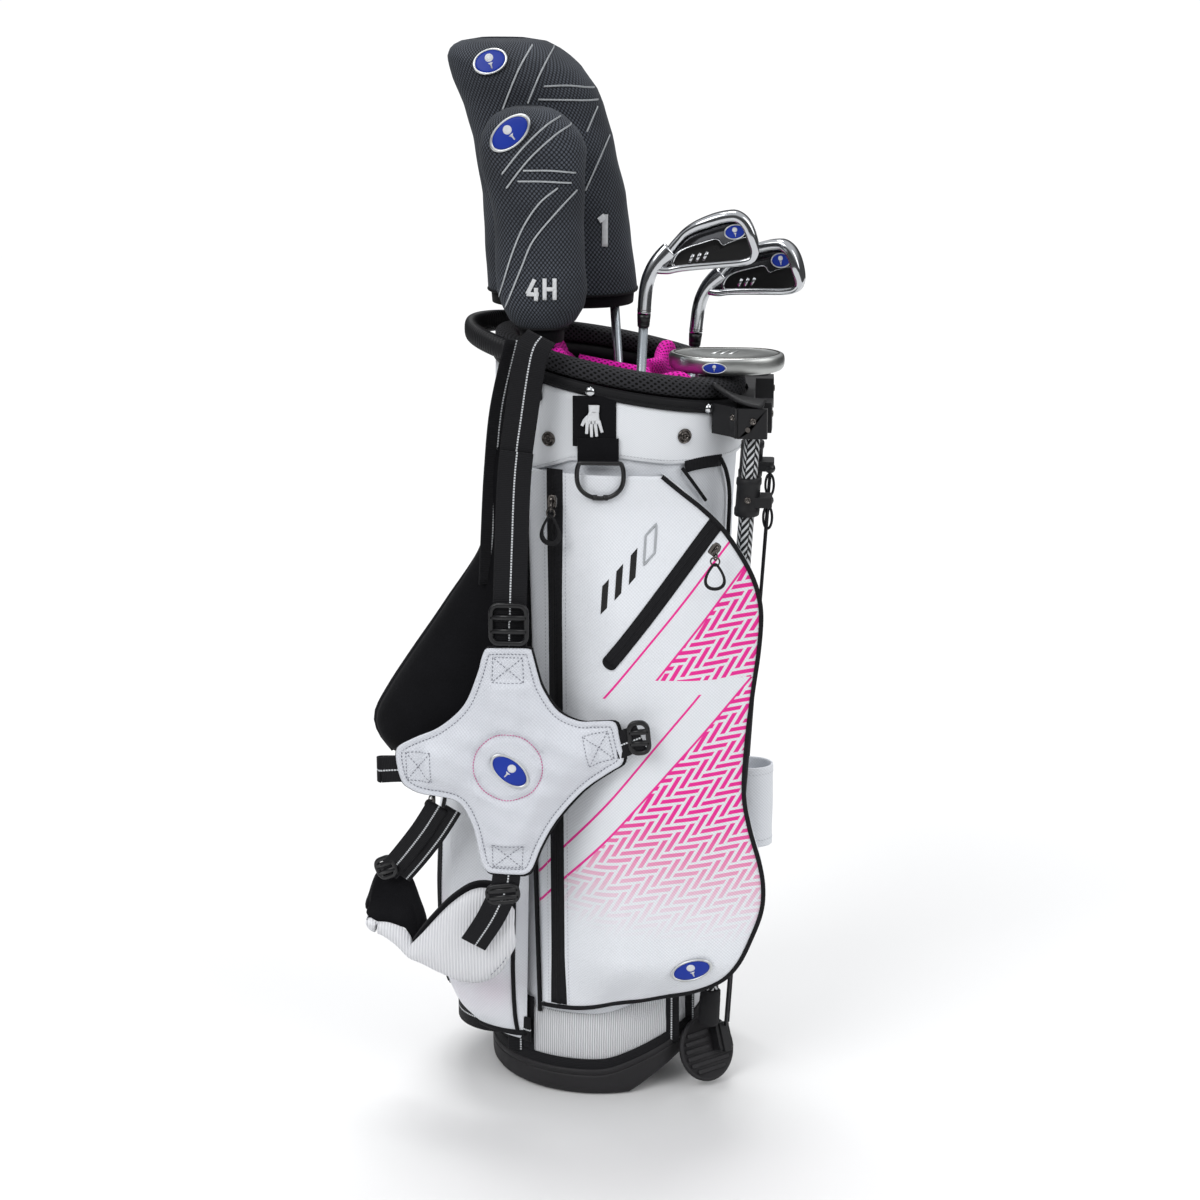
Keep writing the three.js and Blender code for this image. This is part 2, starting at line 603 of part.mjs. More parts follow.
function makeWood(name, butt, neck, head, size, tilt, levels) {
  const length = neck.distanceTo(butt);
  const group = standClub(name, butt, neck, length, 0.2);
  golfSet.updateMatrixWorld(true);
  const toLocal = group.matrixWorld.clone().invert();
  const shell = new THREE.SphereGeometry(1, 20, 12).scale(...size).rotateY(tilt)
    .translate(...head.toArray());
  const along = neck.clone().sub(butt).normalize();
  const hosel = bar(neck.clone().addScaledVector(along, 2.5), neck.clone().addScaledVector(along, 40)
    .lerp(head, 0.25), 6.5, 12);
  add(`${name}_head`, join(shell, hosel).applyMatrix4(toLocal), finish('#26262a', 0.25, 0.2), group);
  add(`${name}_cover`, coverShell(levels, 3), finish('#3c3f46', 0.8));
}

function makePutter(butt, neck) {
  const length = neck.distanceTo(butt);
  const group = standClub('putter', butt, neck, length, 1);
  golfSet.updateMatrixWorld(true);
  const toLocal = group.matrixWorld.clone().invert();
  const outline = smoothOutline([[67, -14], [78, 2], [110, 8], [150, 8], [172, 0], [177, -12],
    [170, -32], [146, -48], [116, -52], [86, -40]], 32);
  const head = prism(outline, 'z', 721, 738);
  add('putter_head', head.applyMatrix4(toLocal), finish('#9b9d9b', 0.35, 0.9), group);
}

function makeClubs() {
  const floor = BOOT_FLOOR + 2;
  makeIron('iron_long', at(10, -35, floor), at(44.6, -40, 779), 0);
  makeIron('iron_short', at(32, 22, floor + 6), at(91, 32, 747), THREE.MathUtils.degToRad(-20));
  makeWood('driver', at(61, 49, floor + 22), at(2, 45, 905), at(-66, 45, 971), [52, 42, 25], 0.45, [
    [787, -112, 33, 45, 48],
    [850, -116, 26, 45, 50],
    [905, -121, 16, 45, 50],
    [965, -134, 1, 45, 50],
    [990, -144, -12, 45, 47],
    [1010, -150, -30, 45, 38],
    [1026, -134, -56, 45, 18],
  ]);
  makeWood('hybrid', at(-62, -25, floor), at(-44, -45, 878), at(-54, -44, 926), [31, 22, 16], 0.5, [
    [768, -92, -8, -44, 31],
    [800, -95, -9, -44, 32],
    [865, -97, -12, -44, 31],
    [900, -104, -11, -44, 32],
    [935, -111, -9, -44, 32],
    [958, -103, -22, -44, 26],
    [972, -84, -42, -44, 12],
  ]);
  makePutter(at(72, -38, floor + 32), at(98, -36, 720.5));
}

makeBoot();
makeTube();
makeCuff();
makeRim();
makeDivider();
makeHandle();
makeGarmentPocket();
makeBallPocket();
makeUmbrellaSleeve();
makeCuffFittings();
makeZip('garment_zip', at(-37, -107.5, 612), at(-0.25, -1, 0).normalize());
makeZip('valuables_zip', at(117, -141, 577), at(0.1, -1, 0).normalize());
makeZip('ball_zip', at(-162, -42, 286), at(-1, -0.35, 0).normalize());
makeLegBracket();
makeLeg('near', -1);
makeLeg('far', 1);
makeFootPlate();
makeBackPad();
makeStraps();
makeClubs();

export default golfSet;
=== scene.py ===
"""A junior golf stand bag with five clubs: the looks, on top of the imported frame.

Every length in this script is in millimetres until build() turns it into metres.
"""
import math

import bmesh
import bpy
import numpy as np
from mathutils import Matrix, Vector


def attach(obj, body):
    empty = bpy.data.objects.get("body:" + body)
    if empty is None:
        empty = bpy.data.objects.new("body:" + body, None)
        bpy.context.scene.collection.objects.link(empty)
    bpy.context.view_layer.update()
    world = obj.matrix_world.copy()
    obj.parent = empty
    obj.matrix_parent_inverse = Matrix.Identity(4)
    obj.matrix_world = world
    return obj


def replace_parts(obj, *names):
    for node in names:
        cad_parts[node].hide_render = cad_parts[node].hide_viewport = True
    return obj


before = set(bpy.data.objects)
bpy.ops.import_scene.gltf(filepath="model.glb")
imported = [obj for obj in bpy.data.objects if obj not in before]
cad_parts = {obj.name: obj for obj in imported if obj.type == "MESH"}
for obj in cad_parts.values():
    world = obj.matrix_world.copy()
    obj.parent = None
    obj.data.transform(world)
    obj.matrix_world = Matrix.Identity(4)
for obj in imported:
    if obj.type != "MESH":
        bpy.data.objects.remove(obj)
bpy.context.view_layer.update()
MM = 0.001


# ---------------------------------------------------------------- small maths

def lerp(a, b, t):
    return a + (b - a) * t


def ease(value, low, high):
    """0 below low, 1 above high, smooth between."""
    t = min(max((value - low) / (high - low), 0.0), 1.0)
    return t * t * (3 - 2 * t)


def between(first, last, steps):
    """steps + 1 even values from first to last."""
    return [lerp(first, last, i / steps) for i in range(steps + 1)]


def full_turn(count):
    """count even angles round a circle, from 0."""
    return [2 * math.pi * i / count for i in range(count)]


def signed(value, power):
    """A power that keeps value's sign. Below 1 it squares a circle off."""
    return math.copysign(abs(value) ** power, value)


def resample(points, count):
    """count + 1 points at even distances along a polyline."""
    rows = np.array([tuple(p) for p in points], float)
    steps = np.linalg.norm(np.diff(rows[:, :3], axis=0), axis=1)
    distance = np.concatenate([[0], np.cumsum(steps)])
    wanted = np.linspace(0, distance[-1], count + 1)
    columns = [np.interp(wanted, distance, rows[:, k]) for k in range(rows.shape[1])]
    return [Vector(row) for row in np.stack(columns, 1)]


def spline(points, count, closed=False):
    """A smooth curve through the points, as evenly spaced points."""
    knots = [Vector(p) for p in points]
    total = len(knots)
    dense = []
    for k in range(total if closed else total - 1):
        a, b, c, d = (knots[(k + o) % total] if closed else knots[min(max(k + o, 0), total - 1)]
                      for o in (-1, 0, 1, 2))
        for i in range(14):
            t = i / 14
            dense.append(0.5 * (2 * b + (c - a) * t + (2 * a - 5 * b + 4 * c - d) * t ** 2
                                + (3 * b - a - 3 * c + d) * t ** 3))
    dense.append(dense[0].copy() if closed else knots[-1])
    even = resample(dense, count)
    return even[:-1] if closed else even


def circle(radius, sides, squash=1.0):
    """A circle, or an oval squash times as tall as wide, as (u, v) points."""
    return [(radius * math.cos(t), radius * squash * math.sin(t)) for t in full_turn(sides)]


# ---------------------------------------------------------------- making pieces

def build(name, body, points, faces, look, uvs=None, smooth=True, replaces=(), closed=True):
    """One mesh object from millimetre points. Its UV map is in millimetres too."""
    mesh = bpy.data.meshes.new(name)
    mesh.from_pydata([tuple(Vector(p[:3]) * MM) for p in points], [], faces)
    layer = mesh.uv_layers.new(name="cloth")
    if uvs is not None:
        layer.data.foreach_set("uv", np.array(uvs, np.float32).ravel())
    piece = bpy.data.objects.new(name, mesh)
    bpy.context.scene.collection.objects.link(piece)
    mesh.materials.append(look.material)
    if closed:
        tidy_normals(mesh)
    mesh.polygons.foreach_set("use_smooth", [smooth] * len(mesh.polygons))
    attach(piece, body)
    if replaces:
        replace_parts(piece, *replaces)
    return piece


def tidy_normals(mesh):
    """Turn every face of a closed mesh outward."""
    work = bmesh.new()
    work.from_mesh(mesh)
    bmesh.ops.recalc_face_normals(work, faces=work.faces)
    work.to_mesh(mesh)
    work.free()


def surface(name, body, rows, look, around=False, along=False, caps=False, across_at=None, **options):
    """A grid of rows of points. around closes each row, along joins the last row to the first.
    across_at gives each column's first UV coordinate, where it isn't the distance across."""
    grid = np.array([[tuple(p)[:3] for p in row] for row in rows], float)
    count, size = grid.shape[:2]
    across = np.linalg.norm(np.roll(grid, -1, 1) - grid, axis=2).mean(0)
    down = np.linalg.norm(np.roll(grid, -1, 0) - grid, axis=2).mean(1)
    u = np.concatenate([[0], np.cumsum(across)]) if across_at is None else [*across_at, across_at[0]]
    v = np.concatenate([[0], np.cumsum(down)])
    faces, uvs = [], []
    for r in range(count if along else count - 1):
        for c in range(size if around else size - 1):
            r2, c2 = (r + 1) % count, (c + 1) % size
            faces.append((r * size + c, r * size + c2, r2 * size + c2, r2 * size + c))
            uvs += [(u[c], v[r]), (u[c + 1], v[r]), (u[c + 1], v[r + 1]), (u[c], v[r + 1])]
    if caps:
        last = (count - 1) * size
        faces += [tuple(range(size))[::-1], tuple(range(last, last + size))]
        uvs += [(u[c], v[0]) for c in range(size)][::-1] + [(u[c], v[-2]) for c in range(size)]
    closed = around and (along or caps)
    return build(name, body, grid.reshape(-1, 3), faces, look, uvs, closed=closed, **options)


def frames(points, closed=False, across=None):
    """For each point: itself, and two directions square to the path. across, if given, is the
    wanted first direction, or one for each point."""
    count = len(points)
    tangents = []
    for i in range(count):
        before = points[i - 1] if closed else points[max(i - 1, 0)]
        after = points[(i + 1) % count] if closed else points[min(i + 1, count - 1)]
        tangents.append((Vector(after[:3]) - Vector(before[:3])).normalized())
    side = tangents[0].orthogonal().normalized()
    result = []
    for i, (point, tangent) in enumerate(zip(points, tangents)):
        if across is not None:
            side = Vector(across[i]) if isinstance(across, list) else Vector(across)
        side = (side - tangent * side.dot(tangent)).normalized()
        result.append((Vector(point[:3]), side, tangent.cross(side)))
    return result


def sweep(name, body, points, section, look, closed=False, across=None, scale=None, **options):
    """A section of (u, v) points carried along a path. scale gives a factor for each point."""
    rows = []
    for i, (point, side, up) in enumerate(frames(points, closed, across)):
        size = scale(i / (len(points) - 1)) if scale else (1, 1)
        rows.append([point + side * u * size[0] + up * v * size[1] for u, v in section])
    return surface(name, body, rows, look, around=True, along=closed, caps=not closed, **options)


def ribbon(name, body, points, across, width, thickness, look, **options):
    """A flat strip along a path. Its first UV coordinate is 0 to width across both faces."""
    section = rounded(width, thickness, thickness * 0.45, 2)
    return sweep(name, body, points, section, look, across=across,
                 across_at=[u + width / 2 for u, _ in section], **options)


def stitches(name, body, points, look, stitch=2.6, gap=1.3, radius=0.35):
    """A row of sewn stitches: short rounded threads along a path."""
    length = sum((Vector(b) - Vector(a)).length for a, b in zip(points, points[1:]))
    count = max(2, int(length / (stitch + gap)))
    path = resample(points, count * 3)
    verts, faces = [], []
    for k in range(count):
        start, end = path[3 * k], path[3 * k].lerp(path[3 * k + 3], stitch / (stitch + gap))
        first = len(verts)
        for share, size in ((0, 0.5), (0.2, 1), (0.8, 1), (1, 0.5)):
            middle, side, up = frames([start.lerp(end, share), end * 2 - start])[0]
            verts += [middle + side * u * size + up * v * size for u, v in circle(radius, 6)]
        for ring in range(3):
            for i in range(6):
                a, b = first + ring * 6 + i, first + ring * 6 + (i + 1) % 6
                faces.append((a, b, b + 6, a + 6))
        faces += [tuple(range(first, first + 6))[::-1], tuple(range(first + 18, first + 24))]
    return build(name, body, verts, faces, look)


def cord(name, body, points, radius, look, sides=10, **options):
    """A round cord along a path."""
    return sweep(name, body, points, circle(radius, sides), look, **options)


def turned(name, body, base, axis, profile, look, sides=32, **options):
    """A lathe body from (radius, height) pairs, along axis from base."""
    axis = Vector(axis).normalized()
    side = axis.orthogonal().normalized()
    up = axis.cross(side)
    rows = [[Vector(base) + axis * h + side * r * math.cos(t) + up * r * math.sin(t)
             for t in full_turn(sides)] for r, h in profile]
    return surface(name, body, rows, look, around=True, caps=True, **options)


def rounded(width, height, radius, steps=4):
    """A rounded rectangle as (u, v) points."""
    points = []
    for cx, cy, start in ((1, 1, 0), (-1, 1, 90), (-1, -1, 180), (1, -1, 270)):
        for i in range(steps + 1):
            turn = math.radians(start + 90 * i / steps)
            points.append((cx * (width / 2 - radius) + radius * math.cos(turn),
                           cy * (height / 2 - radius) + radius * math.sin(turn)))
    return points


def bevel_edges(piece, width, angle):
    """A round of width millimetres on the edges sharper than angle degrees."""
    bevel = piece.modifiers.new("edges", "BEVEL")
    bevel.width = width * MM
    bevel.segments = 3
    bevel.limit_method = "ANGLE"
    bevel.angle_limit = math.radians(angle)


def thicken(piece, thickness, offset=0):
    """Give a one-sided sheet the cloth's thickness: about it, or inward with offset -1."""
    solid = piece.modifiers.new("cloth", "SOLIDIFY")
    solid.thickness = thickness * MM
    solid.offset = offset


def soften(piece, width):
    """Bevelled edges with weighted normals."""
    bevel_edges(piece, width, 35)
    piece.modifiers.new("normals", "WEIGHTED_NORMAL").keep_sharp = True
    piece.data.polygons.foreach_set("use_smooth", [True] * len(piece.data.polygons))
    return piece


def slab(name, body, outline, normal, depth, look, at=(0, 0, 0), right=None, bevel=0.6, **options):
    """A flat plate: an outline of (u, v) points about at, square to normal, depth thick."""
    normal = Vector(normal).normalized()
    right = Vector(right or (1, 0, 0))
    right = (right - normal * right.dot(normal)).normalized()
    up = normal.cross(right)
    rows = [[Vector(at) + right * u + up * v + normal * h for u, v in outline]
            for h in (-depth / 2, depth / 2)]
    piece = surface(name, body, rows, look, around=True, caps=True, **options)
    return soften(piece, bevel) if bevel else piece


# ---------------------------------------------------------------- materials

def linear(color):
    """A 0 to 255 screen colour as linear red, green, blue and alpha."""
    def channel(value):
        value /= 255
        return value / 12.92 if value <= 0.04045 else ((value + 0.055) / 1.055) ** 2.4
    return (*(channel(value) for value in color), 1.0)


class Look:
    """A material, with short calls to add its nodes."""

    def __init__(self, name, color, roughness, metallic=0.0, **sockets):
        self.material = bpy.data.materials.new(name)
        self.material.use_nodes = True
        self.tree = self.material.node_tree
        self.shader = self.tree.nodes["Principled BSDF"]
        self.base = linear(color)
        values = {"Base Color": self.base, "Roughness": roughness, "Metallic": metallic}
        for socket, value in {**values, **sockets}.items():
            self.shader.inputs[socket].default_value = value

    def node(self, kind, *values, settings=None, output=0, **inputs):
        node = self.tree.nodes.new("ShaderNode" + kind)
        for key, value in (settings or {}).items():
            setattr(node, key, value)
        for place, value in enumerate(values):
            self.put(node.inputs[place], value)
        for key, value in inputs.items():
            self.put(node.inputs[key.replace("_", " ")], value)
        return node.outputs[output]

    def put(self, socket, value):
        if isinstance(value, bpy.types.NodeSocket):
            self.tree.links.new(value, socket)
        elif value is not None:
            socket.default_value = value

    def math(self, operation, *values):
        return self.node("Math", *values, settings={"operation": operation})

    def times(self, first, second):
        return self.math("MULTIPLY", first, second)

    def plus(self, first, second):
        return self.math("ADD", first, second)

    def minus(self, first, second):
        return self.math("SUBTRACT", first, second)

    def waves(self, value, length):
        """-1 to 1 and back for every length of value."""
        return self.math("SINE", self.times(value, 2 * math.pi / length))

    def band(self, value, low, high):
        """0 to 1 as value goes from low to high, smooth at both ends."""
        return self.node("MapRange", value, low, high, 0.0, 1.0,
                         settings={"interpolation_type": "SMOOTHSTEP"})

    def cloth(self):
        """The piece's own UV map, in millimetres."""
        return self.node("UVMap", settings={"uv_map": "cloth"})

    def place(self):
        """The place on the piece at rest, in millimetres."""
        coordinates = self.tree.nodes.new("ShaderNodeTexCoord").outputs["Object"]
        return self.node("VectorMath", coordinates, (1000, 1000, 1000), settings={"operation": "MULTIPLY"})

    def axis(self, vector, index):
        return self.node("SeparateXYZ", vector, output=index)

    def dot(self, vector, direction):
        node = self.tree.nodes.new("ShaderNodeVectorMath")
        node.operation = "DOT_PRODUCT"
        self.put(node.inputs[0], vector)
        node.inputs[1].default_value = direction
        return node.outputs["Value"]

    def noise(self, vector, size, detail=3.0):
        return self.node("TexNoise", Vector=vector, Scale=1 / size, Detail=detail)

    def cells(self, vector, wide, tall):
        """Distance from the nearest point of a staggered lattice, 0 to about 0.7."""
        lattice = self.node("Mapping", Vector=vector, Scale=(1 / wide, 1 / tall, 1),
                            Rotation=(0, 0, math.radians(45)))
        return self.node("TexVoronoi", Vector=lattice, Scale=1.0, Randomness=0.0,
                         settings={"voronoi_dimensions": "2D"})

    def mix(self, share, first, second, blend="MIX"):
        node = self.tree.nodes.new("ShaderNodeMix")
        node.data_type = "RGBA"
        node.blend_type = blend
        self.put(node.inputs["Factor"], share)
        self.put(node.inputs[6], first)
        self.put(node.inputs[7], second)
        return node.outputs[2]

    def color(self, value):
        self.put(self.shader.inputs["Base Color"], value)
        return self

    def rough(self, value, low, high):
        self.put(self.shader.inputs["Roughness"], self.node("MapRange", value, 0.0, 1.0, low, high))
        return self

    def bump(self, height, distance, strength=1.0, after=None):
        """A bump whose full height is distance millimetres."""
        normal = self.node("Bump", Strength=strength, Distance=distance * MM, Height=height, Normal=after)
        self.put(self.shader.inputs["Normal"], normal)
        return normal


def thread(name, color, roughness=0.8, metallic=0.0):
    """Twisted thread or embroidery: fine slanting plies, and a slight change of tone."""
    look = Look(name, color, roughness, metallic)
    place = look.place()
    ply = look.waves(look.dot(place, (1, 1, 1)), 0.7)
    look.color(look.mix(look.noise(place, 4.0), look.base, linear([c * 0.86 for c in color])))
    look.bump(ply, 0.07)
    return look


def plastic(name, color, roughness, grain=0.03, shine=0.3):
    """Moulded plastic: a fine grain, and wear that dulls it unevenly."""
    look = Look(name, color, roughness, **{"Specular IOR Level": shine})
    place = look.place()
    fine = look.noise(place, 0.7, 2.0)
    look.rough(look.noise(place, 18.0), roughness - 0.1, roughness + 0.12)
    look.color(look.mix(look.noise(place, 30.0), look.base, linear([c * 1.12 + 2 for c in color])))
    look.bump(fine, grain)
    return look


def honeycomb(name, color, wide=2.3, tall=2.3, depth=0.16, roughness=0.78, tint=None, coordinates=None):
    """White polyester with a fine honeycomb weave, painted shade in its sunken lines, and soft creases."""
    look = Look(name, color, roughness, **{"Sheen Weight": 0.15, "Sheen Roughness": 0.4})
    weave = look.cells(coordinates(look) if coordinates else look.cloth(), wide, tall)
    ridge = look.band(weave, 0.2, 0.62)
    place = look.place()
    base = tint(look, place) if tint else look.base
    # Painted shade: the weave's sunken lines are coloured darker. The broad noise below is a random change
    # of tone.
    shade = look.node("MapRange", ridge, 0.0, 1.0, 1.0, 0.9)
    soft = look.node("MapRange", look.noise(place, 90.0, 2.0), 0.3, 0.7, 0.965, 1.0)
    both = look.times(shade, soft)
    dark = look.node("CombineColor", both, both, both)
    look.color(look.mix(1.0, base, dark, "MULTIPLY"))
    creases = look.bump(look.noise(place, 55.0, 2.0), 1.6, 0.35)
    look.bump(ridge, -depth, 0.8, creases)
    return look


def air_mesh(name, color, hole_shade, wide=3.1, tall=3.9, size=0.30):
    """Spacer mesh: a staggered net of long holes, coloured dark as painted shade inside them."""
    look = Look(name, color, 0.85, **{"Sheen Weight": 0.04, "Specular IOR Level": 0.16})
    distance = look.cells(look.cloth(), wide, tall)
    net = look.band(distance, size - 0.06, size + 0.08)
    fibre = look.noise(look.cloth(), 0.5, 2.0)
    strand = look.mix(fibre, linear([c * 0.8 for c in color]),
                      linear([min(255, c * 1.25 + 8) for c in color]))
    # Painted shade: the holes take a darker colour than the strands around them.
    look.color(look.mix(net, linear(hole_shade), strand))
    look.bump(net, 0.9)
    return look


def webbing(name, color, stripe=None, width=30.0):
    """Woven webbing: ribs across it, a finer twill along it, a painted highlight on their raised parts, and
    a dashed stripe if asked.
    """
    look = Look(name, color, 0.72, **{"Sheen Weight": 0.05, "Sheen Roughness": 0.35,
                                      "Specular IOR Level": 0.16})
    cloth = look.cloth()
    across, along = look.axis(cloth, 0), look.axis(cloth, 1)
    ribs = look.waves(along, 1.7)
    twill = look.waves(look.plus(across, along), 1.1)
    weave = look.plus(look.times(ribs, 0.35), look.times(twill, 0.15))
    height = look.plus(weave, 0.5)
    # Painted highlight: the weave's raised ribs are coloured lighter than its sunken parts.
    tone = look.mix(height, look.base, linear([c * 1.5 + 6 for c in color]))
    if stripe:
        middle = look.math("ABSOLUTE", look.minus(across, width / 2))
        in_line = look.math("LESS_THAN", middle, 0.75)
        dash = look.math("LESS_THAN", look.math("FRACT", look.math("DIVIDE", along, 2.6)), 0.72)
        tone = look.mix(look.times(in_line, dash), tone, linear(stripe))
    look.color(tone)
    look.bump(height, 0.25)
    return look


def metal(name, color, roughness, brush=0.0):
    """Metal with uneven polish: brushed lines, or the faint waves of a hand."""
    look = Look(name, color, roughness, 1.0)
    place = look.place()
    look.rough(look.noise(place, 14.0), max(0.02, roughness - 0.05), roughness + 0.08)
    if brush:
        lines = look.node("Mapping", Vector=place, Scale=(0.15, 3.0, 3.0))
        look.bump(look.noise(lines, 1.0, 4.0), brush)
    else:
        look.bump(look.noise(place, 9.0, 2.0), 0.05, 0.3)
    return look


def plush(name, color):
    """Short dark pile: uneven in tone and fuzzy at a glance."""
    look = Look(name, color, 0.95, **{"Sheen Weight": 0.06, "Sheen Roughness": 0.5,
                                      "Specular IOR Level": 0.1})
    place = look.place()
    look.color(look.mix(look.noise(place, 25.0), look.base, linear([c * 1.6 + 4 for c in color])))
    look.bump(look.noise(place, 0.8, 2.0), 0.35)
    return look


def zip_look():
    """Zip tape: a fine herringbone, and teeth across the middle coil, painted lighter on their crests as a
    highlight.
    """
    look = Look("black zip tape", (17, 17, 19), 0.7, **{"Specular IOR Level": 0.16})
    cloth = look.cloth()
    across, along = look.axis(cloth, 0), look.axis(cloth, 1)
    teeth = look.math("MULTIPLY_ADD", look.waves(along, 1.3), 0.5, 0.5)
    weave = look.waves(look.plus(along, across), 1.0)
    height = look.plus(teeth, look.times(weave, 0.25))
    # Painted highlight: the teeth's crests are coloured lighter than the gaps between them.
    look.color(look.mix(teeth, look.base, linear((34, 34, 37))))
    look.bump(height, 0.3)
    return look


def ribbed_pad():
    """White stretch cloth with fine ribs along the strap, painted lighter on the ribs and darker in the
    grooves as light and shade.
    """
    look = Look("ribbed white pad cloth", (216, 217, 220), 0.8)
    place = look.place()
    line = look.waves(look.axis(place, 0), 3.1)
    fine = look.noise(place, 0.9, 2.0)
    # Painted light and shade: the ribs' tops are coloured lighter and the grooves between them darker.
    look.color(look.mix(look.math("MULTIPLY_ADD", line, 0.5, 0.5), linear((202, 203, 207)),
                        linear((224, 225, 228))))
    look.bump(look.plus(line, look.times(fine, 0.6)), 0.28)
    return look


# ---------------------------------------------------------------- colours

WHITE = (226, 229, 234)
CUFF_WHITE = (228, 231, 235)
PINK = (232, 32, 146)
MAGENTA = (222, 22, 156)
PINK_THREAD = (226, 84, 160)
BADGE_BLUE = (14, 44, 140)
THREAD = (196, 198, 204)

looks = {
    "mesh": air_mesh("black air mesh", (40, 40, 43), (3, 3, 3), 3.5, 4.6),
    "lining": air_mesh("black lining mesh", (22, 22, 25), (4, 4, 5), 2.7, 3.4),
    "magenta": air_mesh("magenta air mesh", MAGENTA, (104, 4, 72), 3.2, 4.0, 0.25),
    "white": honeycomb("white honeycomb polyester", WHITE),
    "cuff": honeycomb("coated white fabric", CUFF_WHITE, 2.0, 2.0, 0.06, 0.6),
    "boot": plastic("matte moulded plastic", (30, 29, 31), 0.62, 0.05),
    "plastic": plastic("black moulded plastic", (21, 21, 23), 0.5),
    "gloss": plastic("smooth black plastic", (15, 15, 17), 0.3, 0.01, 0.4),
    "rubber": plastic("black rubber", (19, 19, 21), 0.8, 0.08),
    "collar": plastic("smooth black binding", (17, 17, 19), 0.58, 0.05, 0.2),
    "webbing": webbing("black webbing", (15, 15, 17), (200, 203, 206), 31.0),
    "narrow": webbing("narrow black webbing", (15, 15, 17), (200, 203, 206), 25.0),
    "binding": webbing("black binding", (14, 14, 16)),
    "plush": plush("black plush", (9, 9, 11)),
    "thread": thread("white thread", THREAD),
    "dark thread": thread("grey thread", (126, 128, 140)),
    "pink thread": thread("pink thread", PINK_THREAD),
    "nickel": metal("black nickel", (92, 88, 85), 0.2),
    "chrome": metal("polished chrome", (196, 198, 200), 0.07),
    "wire": metal("black wire", (46, 46, 48), 0.35),
    "tab": plush("black tab fabric", (10, 10, 12)),
    "zip": zip_look(),
    "silver thread": thread("silver thread", (190, 194, 198), 0.45, 0.2),
    "badge rim": metal("badge rim", (206, 208, 208), 0.4),
    "badge blue": plastic("badge blue", BADGE_BLUE, 0.45, 0.01),
    "pad": honeycomb("embossed white synthetic", (212, 215, 222), 2.4, 2.4, 0.32, 0.55),
    "ribbed pad": ribbed_pad(),
    "white print": thread("white print", (236, 238, 241), 0.6),
    "black print": thread("black embroidery", (14, 14, 16), 0.75),
}


# ---------------------------------------------------------------- shape of the bag

BASE_RADIUS = 105
FLARE_START = 66
TOP_Z = 720
TOP_SHIFT = 20
TOP_RX = 118
TOP_RY = 98
TUBE_WALL = 4
CLOTH = 1.2  # the thickness of a single layer
ROLL_HEIGHT = 19
SKIRT_DEPTH = 30
# The rim's height at x = 0, and how much it falls for each millimetre to the right.
RIM_MIDDLE, RIM_SLOPE = 741, 0.19
# The boot's upper edge: its height on the left, where it starts to rise, and how steeply.
BOOT_HEIGHT, BOOT_BEND, BOOT_SLOPE = 28, 15, 0.36
# Where the boot's underside leaves the floor, and how steeply.
LIFT_START, LIFT_SLOPE = 37, 0.6
AROUND = 144
ring = full_turn(AROUND)


def tube_at(z):
    """The tube's middle x and its two radii at a height."""
    share = max(0, z - FLARE_START) / (TOP_Z - FLARE_START)
    return TOP_SHIFT * share, lerp(BASE_RADIUS, TOP_RX, share), lerp(BASE_RADIUS, TOP_RY, share)


def tube_point(turn, z, out=0.0):
    """A point on the tube, or out of it by out."""
    middle, rx, ry = tube_at(z)
    return Vector((middle + (rx + out) * math.cos(turn), (ry + out) * math.sin(turn), z))


def tube_depth(x, z):
    """How far the tube reaches from its middle plane at a place."""
    middle, rx, ry = tube_at(z)
    return ry * math.sqrt(max(0.0, 1 - ((x - middle) / rx) ** 2))


def near_turn(x, z):
    """The angle round the tube, on its near side, of a place x across."""
    middle, rx, _ = tube_at(z)
    return -math.acos(min(1, max(-1, (x - middle) / rx)))


def near_point(x, z, out=0.0):
    """A point on the tube's near side, and the direction straight out of it."""
    turn = near_turn(x, z)
    _, rx, ry = tube_at(z)
    normal = Vector((math.cos(turn) / rx, math.sin(turn) / ry, 0)).normalized()
    return tube_point(turn, z) + normal * out, normal


def rim_height(x):
    """The rim's top: it falls to the right."""
    return RIM_MIDDLE - RIM_SLOPE * x


def rim_point(turn, offset, height):
    x = TOP_SHIFT + (TOP_RX + offset) * math.cos(turn)
    return Vector((x, (TOP_RY + offset) * math.sin(turn), rim_height(x) + height))


def rim_hoop(name, section, look, **options):
    """A section of (out, up) points carried round the rim."""
    rows = [[rim_point(turn, offset, height) for offset, height in section] for turn in ring]
    return surface(name, "bag", rows, look, around=True, along=True, **options)


# ---------------------------------------------------------------- the tube, base and rim

def boot_top(x):
    """The boot's upper edge: level on the left, rising past a soft bend."""
    past = x - BOOT_BEND
    return BOOT_HEIGHT + BOOT_SLOPE * 0.5 * (past + math.sqrt(past ** 2 + 10 ** 2))


def boot_bottom(x):
    """The boot's underside: flat, then lifted off the floor on the right."""
    return LIFT_SLOPE * max(0, x - LIFT_START)


def make_boot():
    """The moulded foot: a cup with a bevelled underside, a rounded rim and a fine line below it."""
    profile = [(0.6, "low", 0), (40, "low", 0), (80, "low", 0), (100, "low", 0), (104.5, "low", 0.5),
               (107.6, "low", 2.2), (109.4, "low", 4.8), (110, "low", 9), (110.2, "top", -9),
               (110.2, "top", -7.2), (109.5, "top", -6.9), (109.5, "top", -6.3), (110.2, "top", -6.0),
               (110.4, "top", -2.2), (109.6, "top", -0.6), (108, "top", 0), (106.6, "top", -0.7),
               (105.9, "top", -3), (105.8, "low", 14), (105.4, "low", 6.6), (100, "low", 5),
               (40, "low", 5), (0.6, "low", 5)]
    rows = []
    for radius, side, height in profile:
        row = []
        for turn in ring:
            x = radius * math.cos(turn)
            base = boot_bottom(x) if side == "low" else boot_top(x)
            row.append((x, radius * math.sin(turn), base + height))
        rows.append(row)
    surface("boot", "bag", rows, looks["boot"], around=True, caps=True, replaces=["base_boot"])


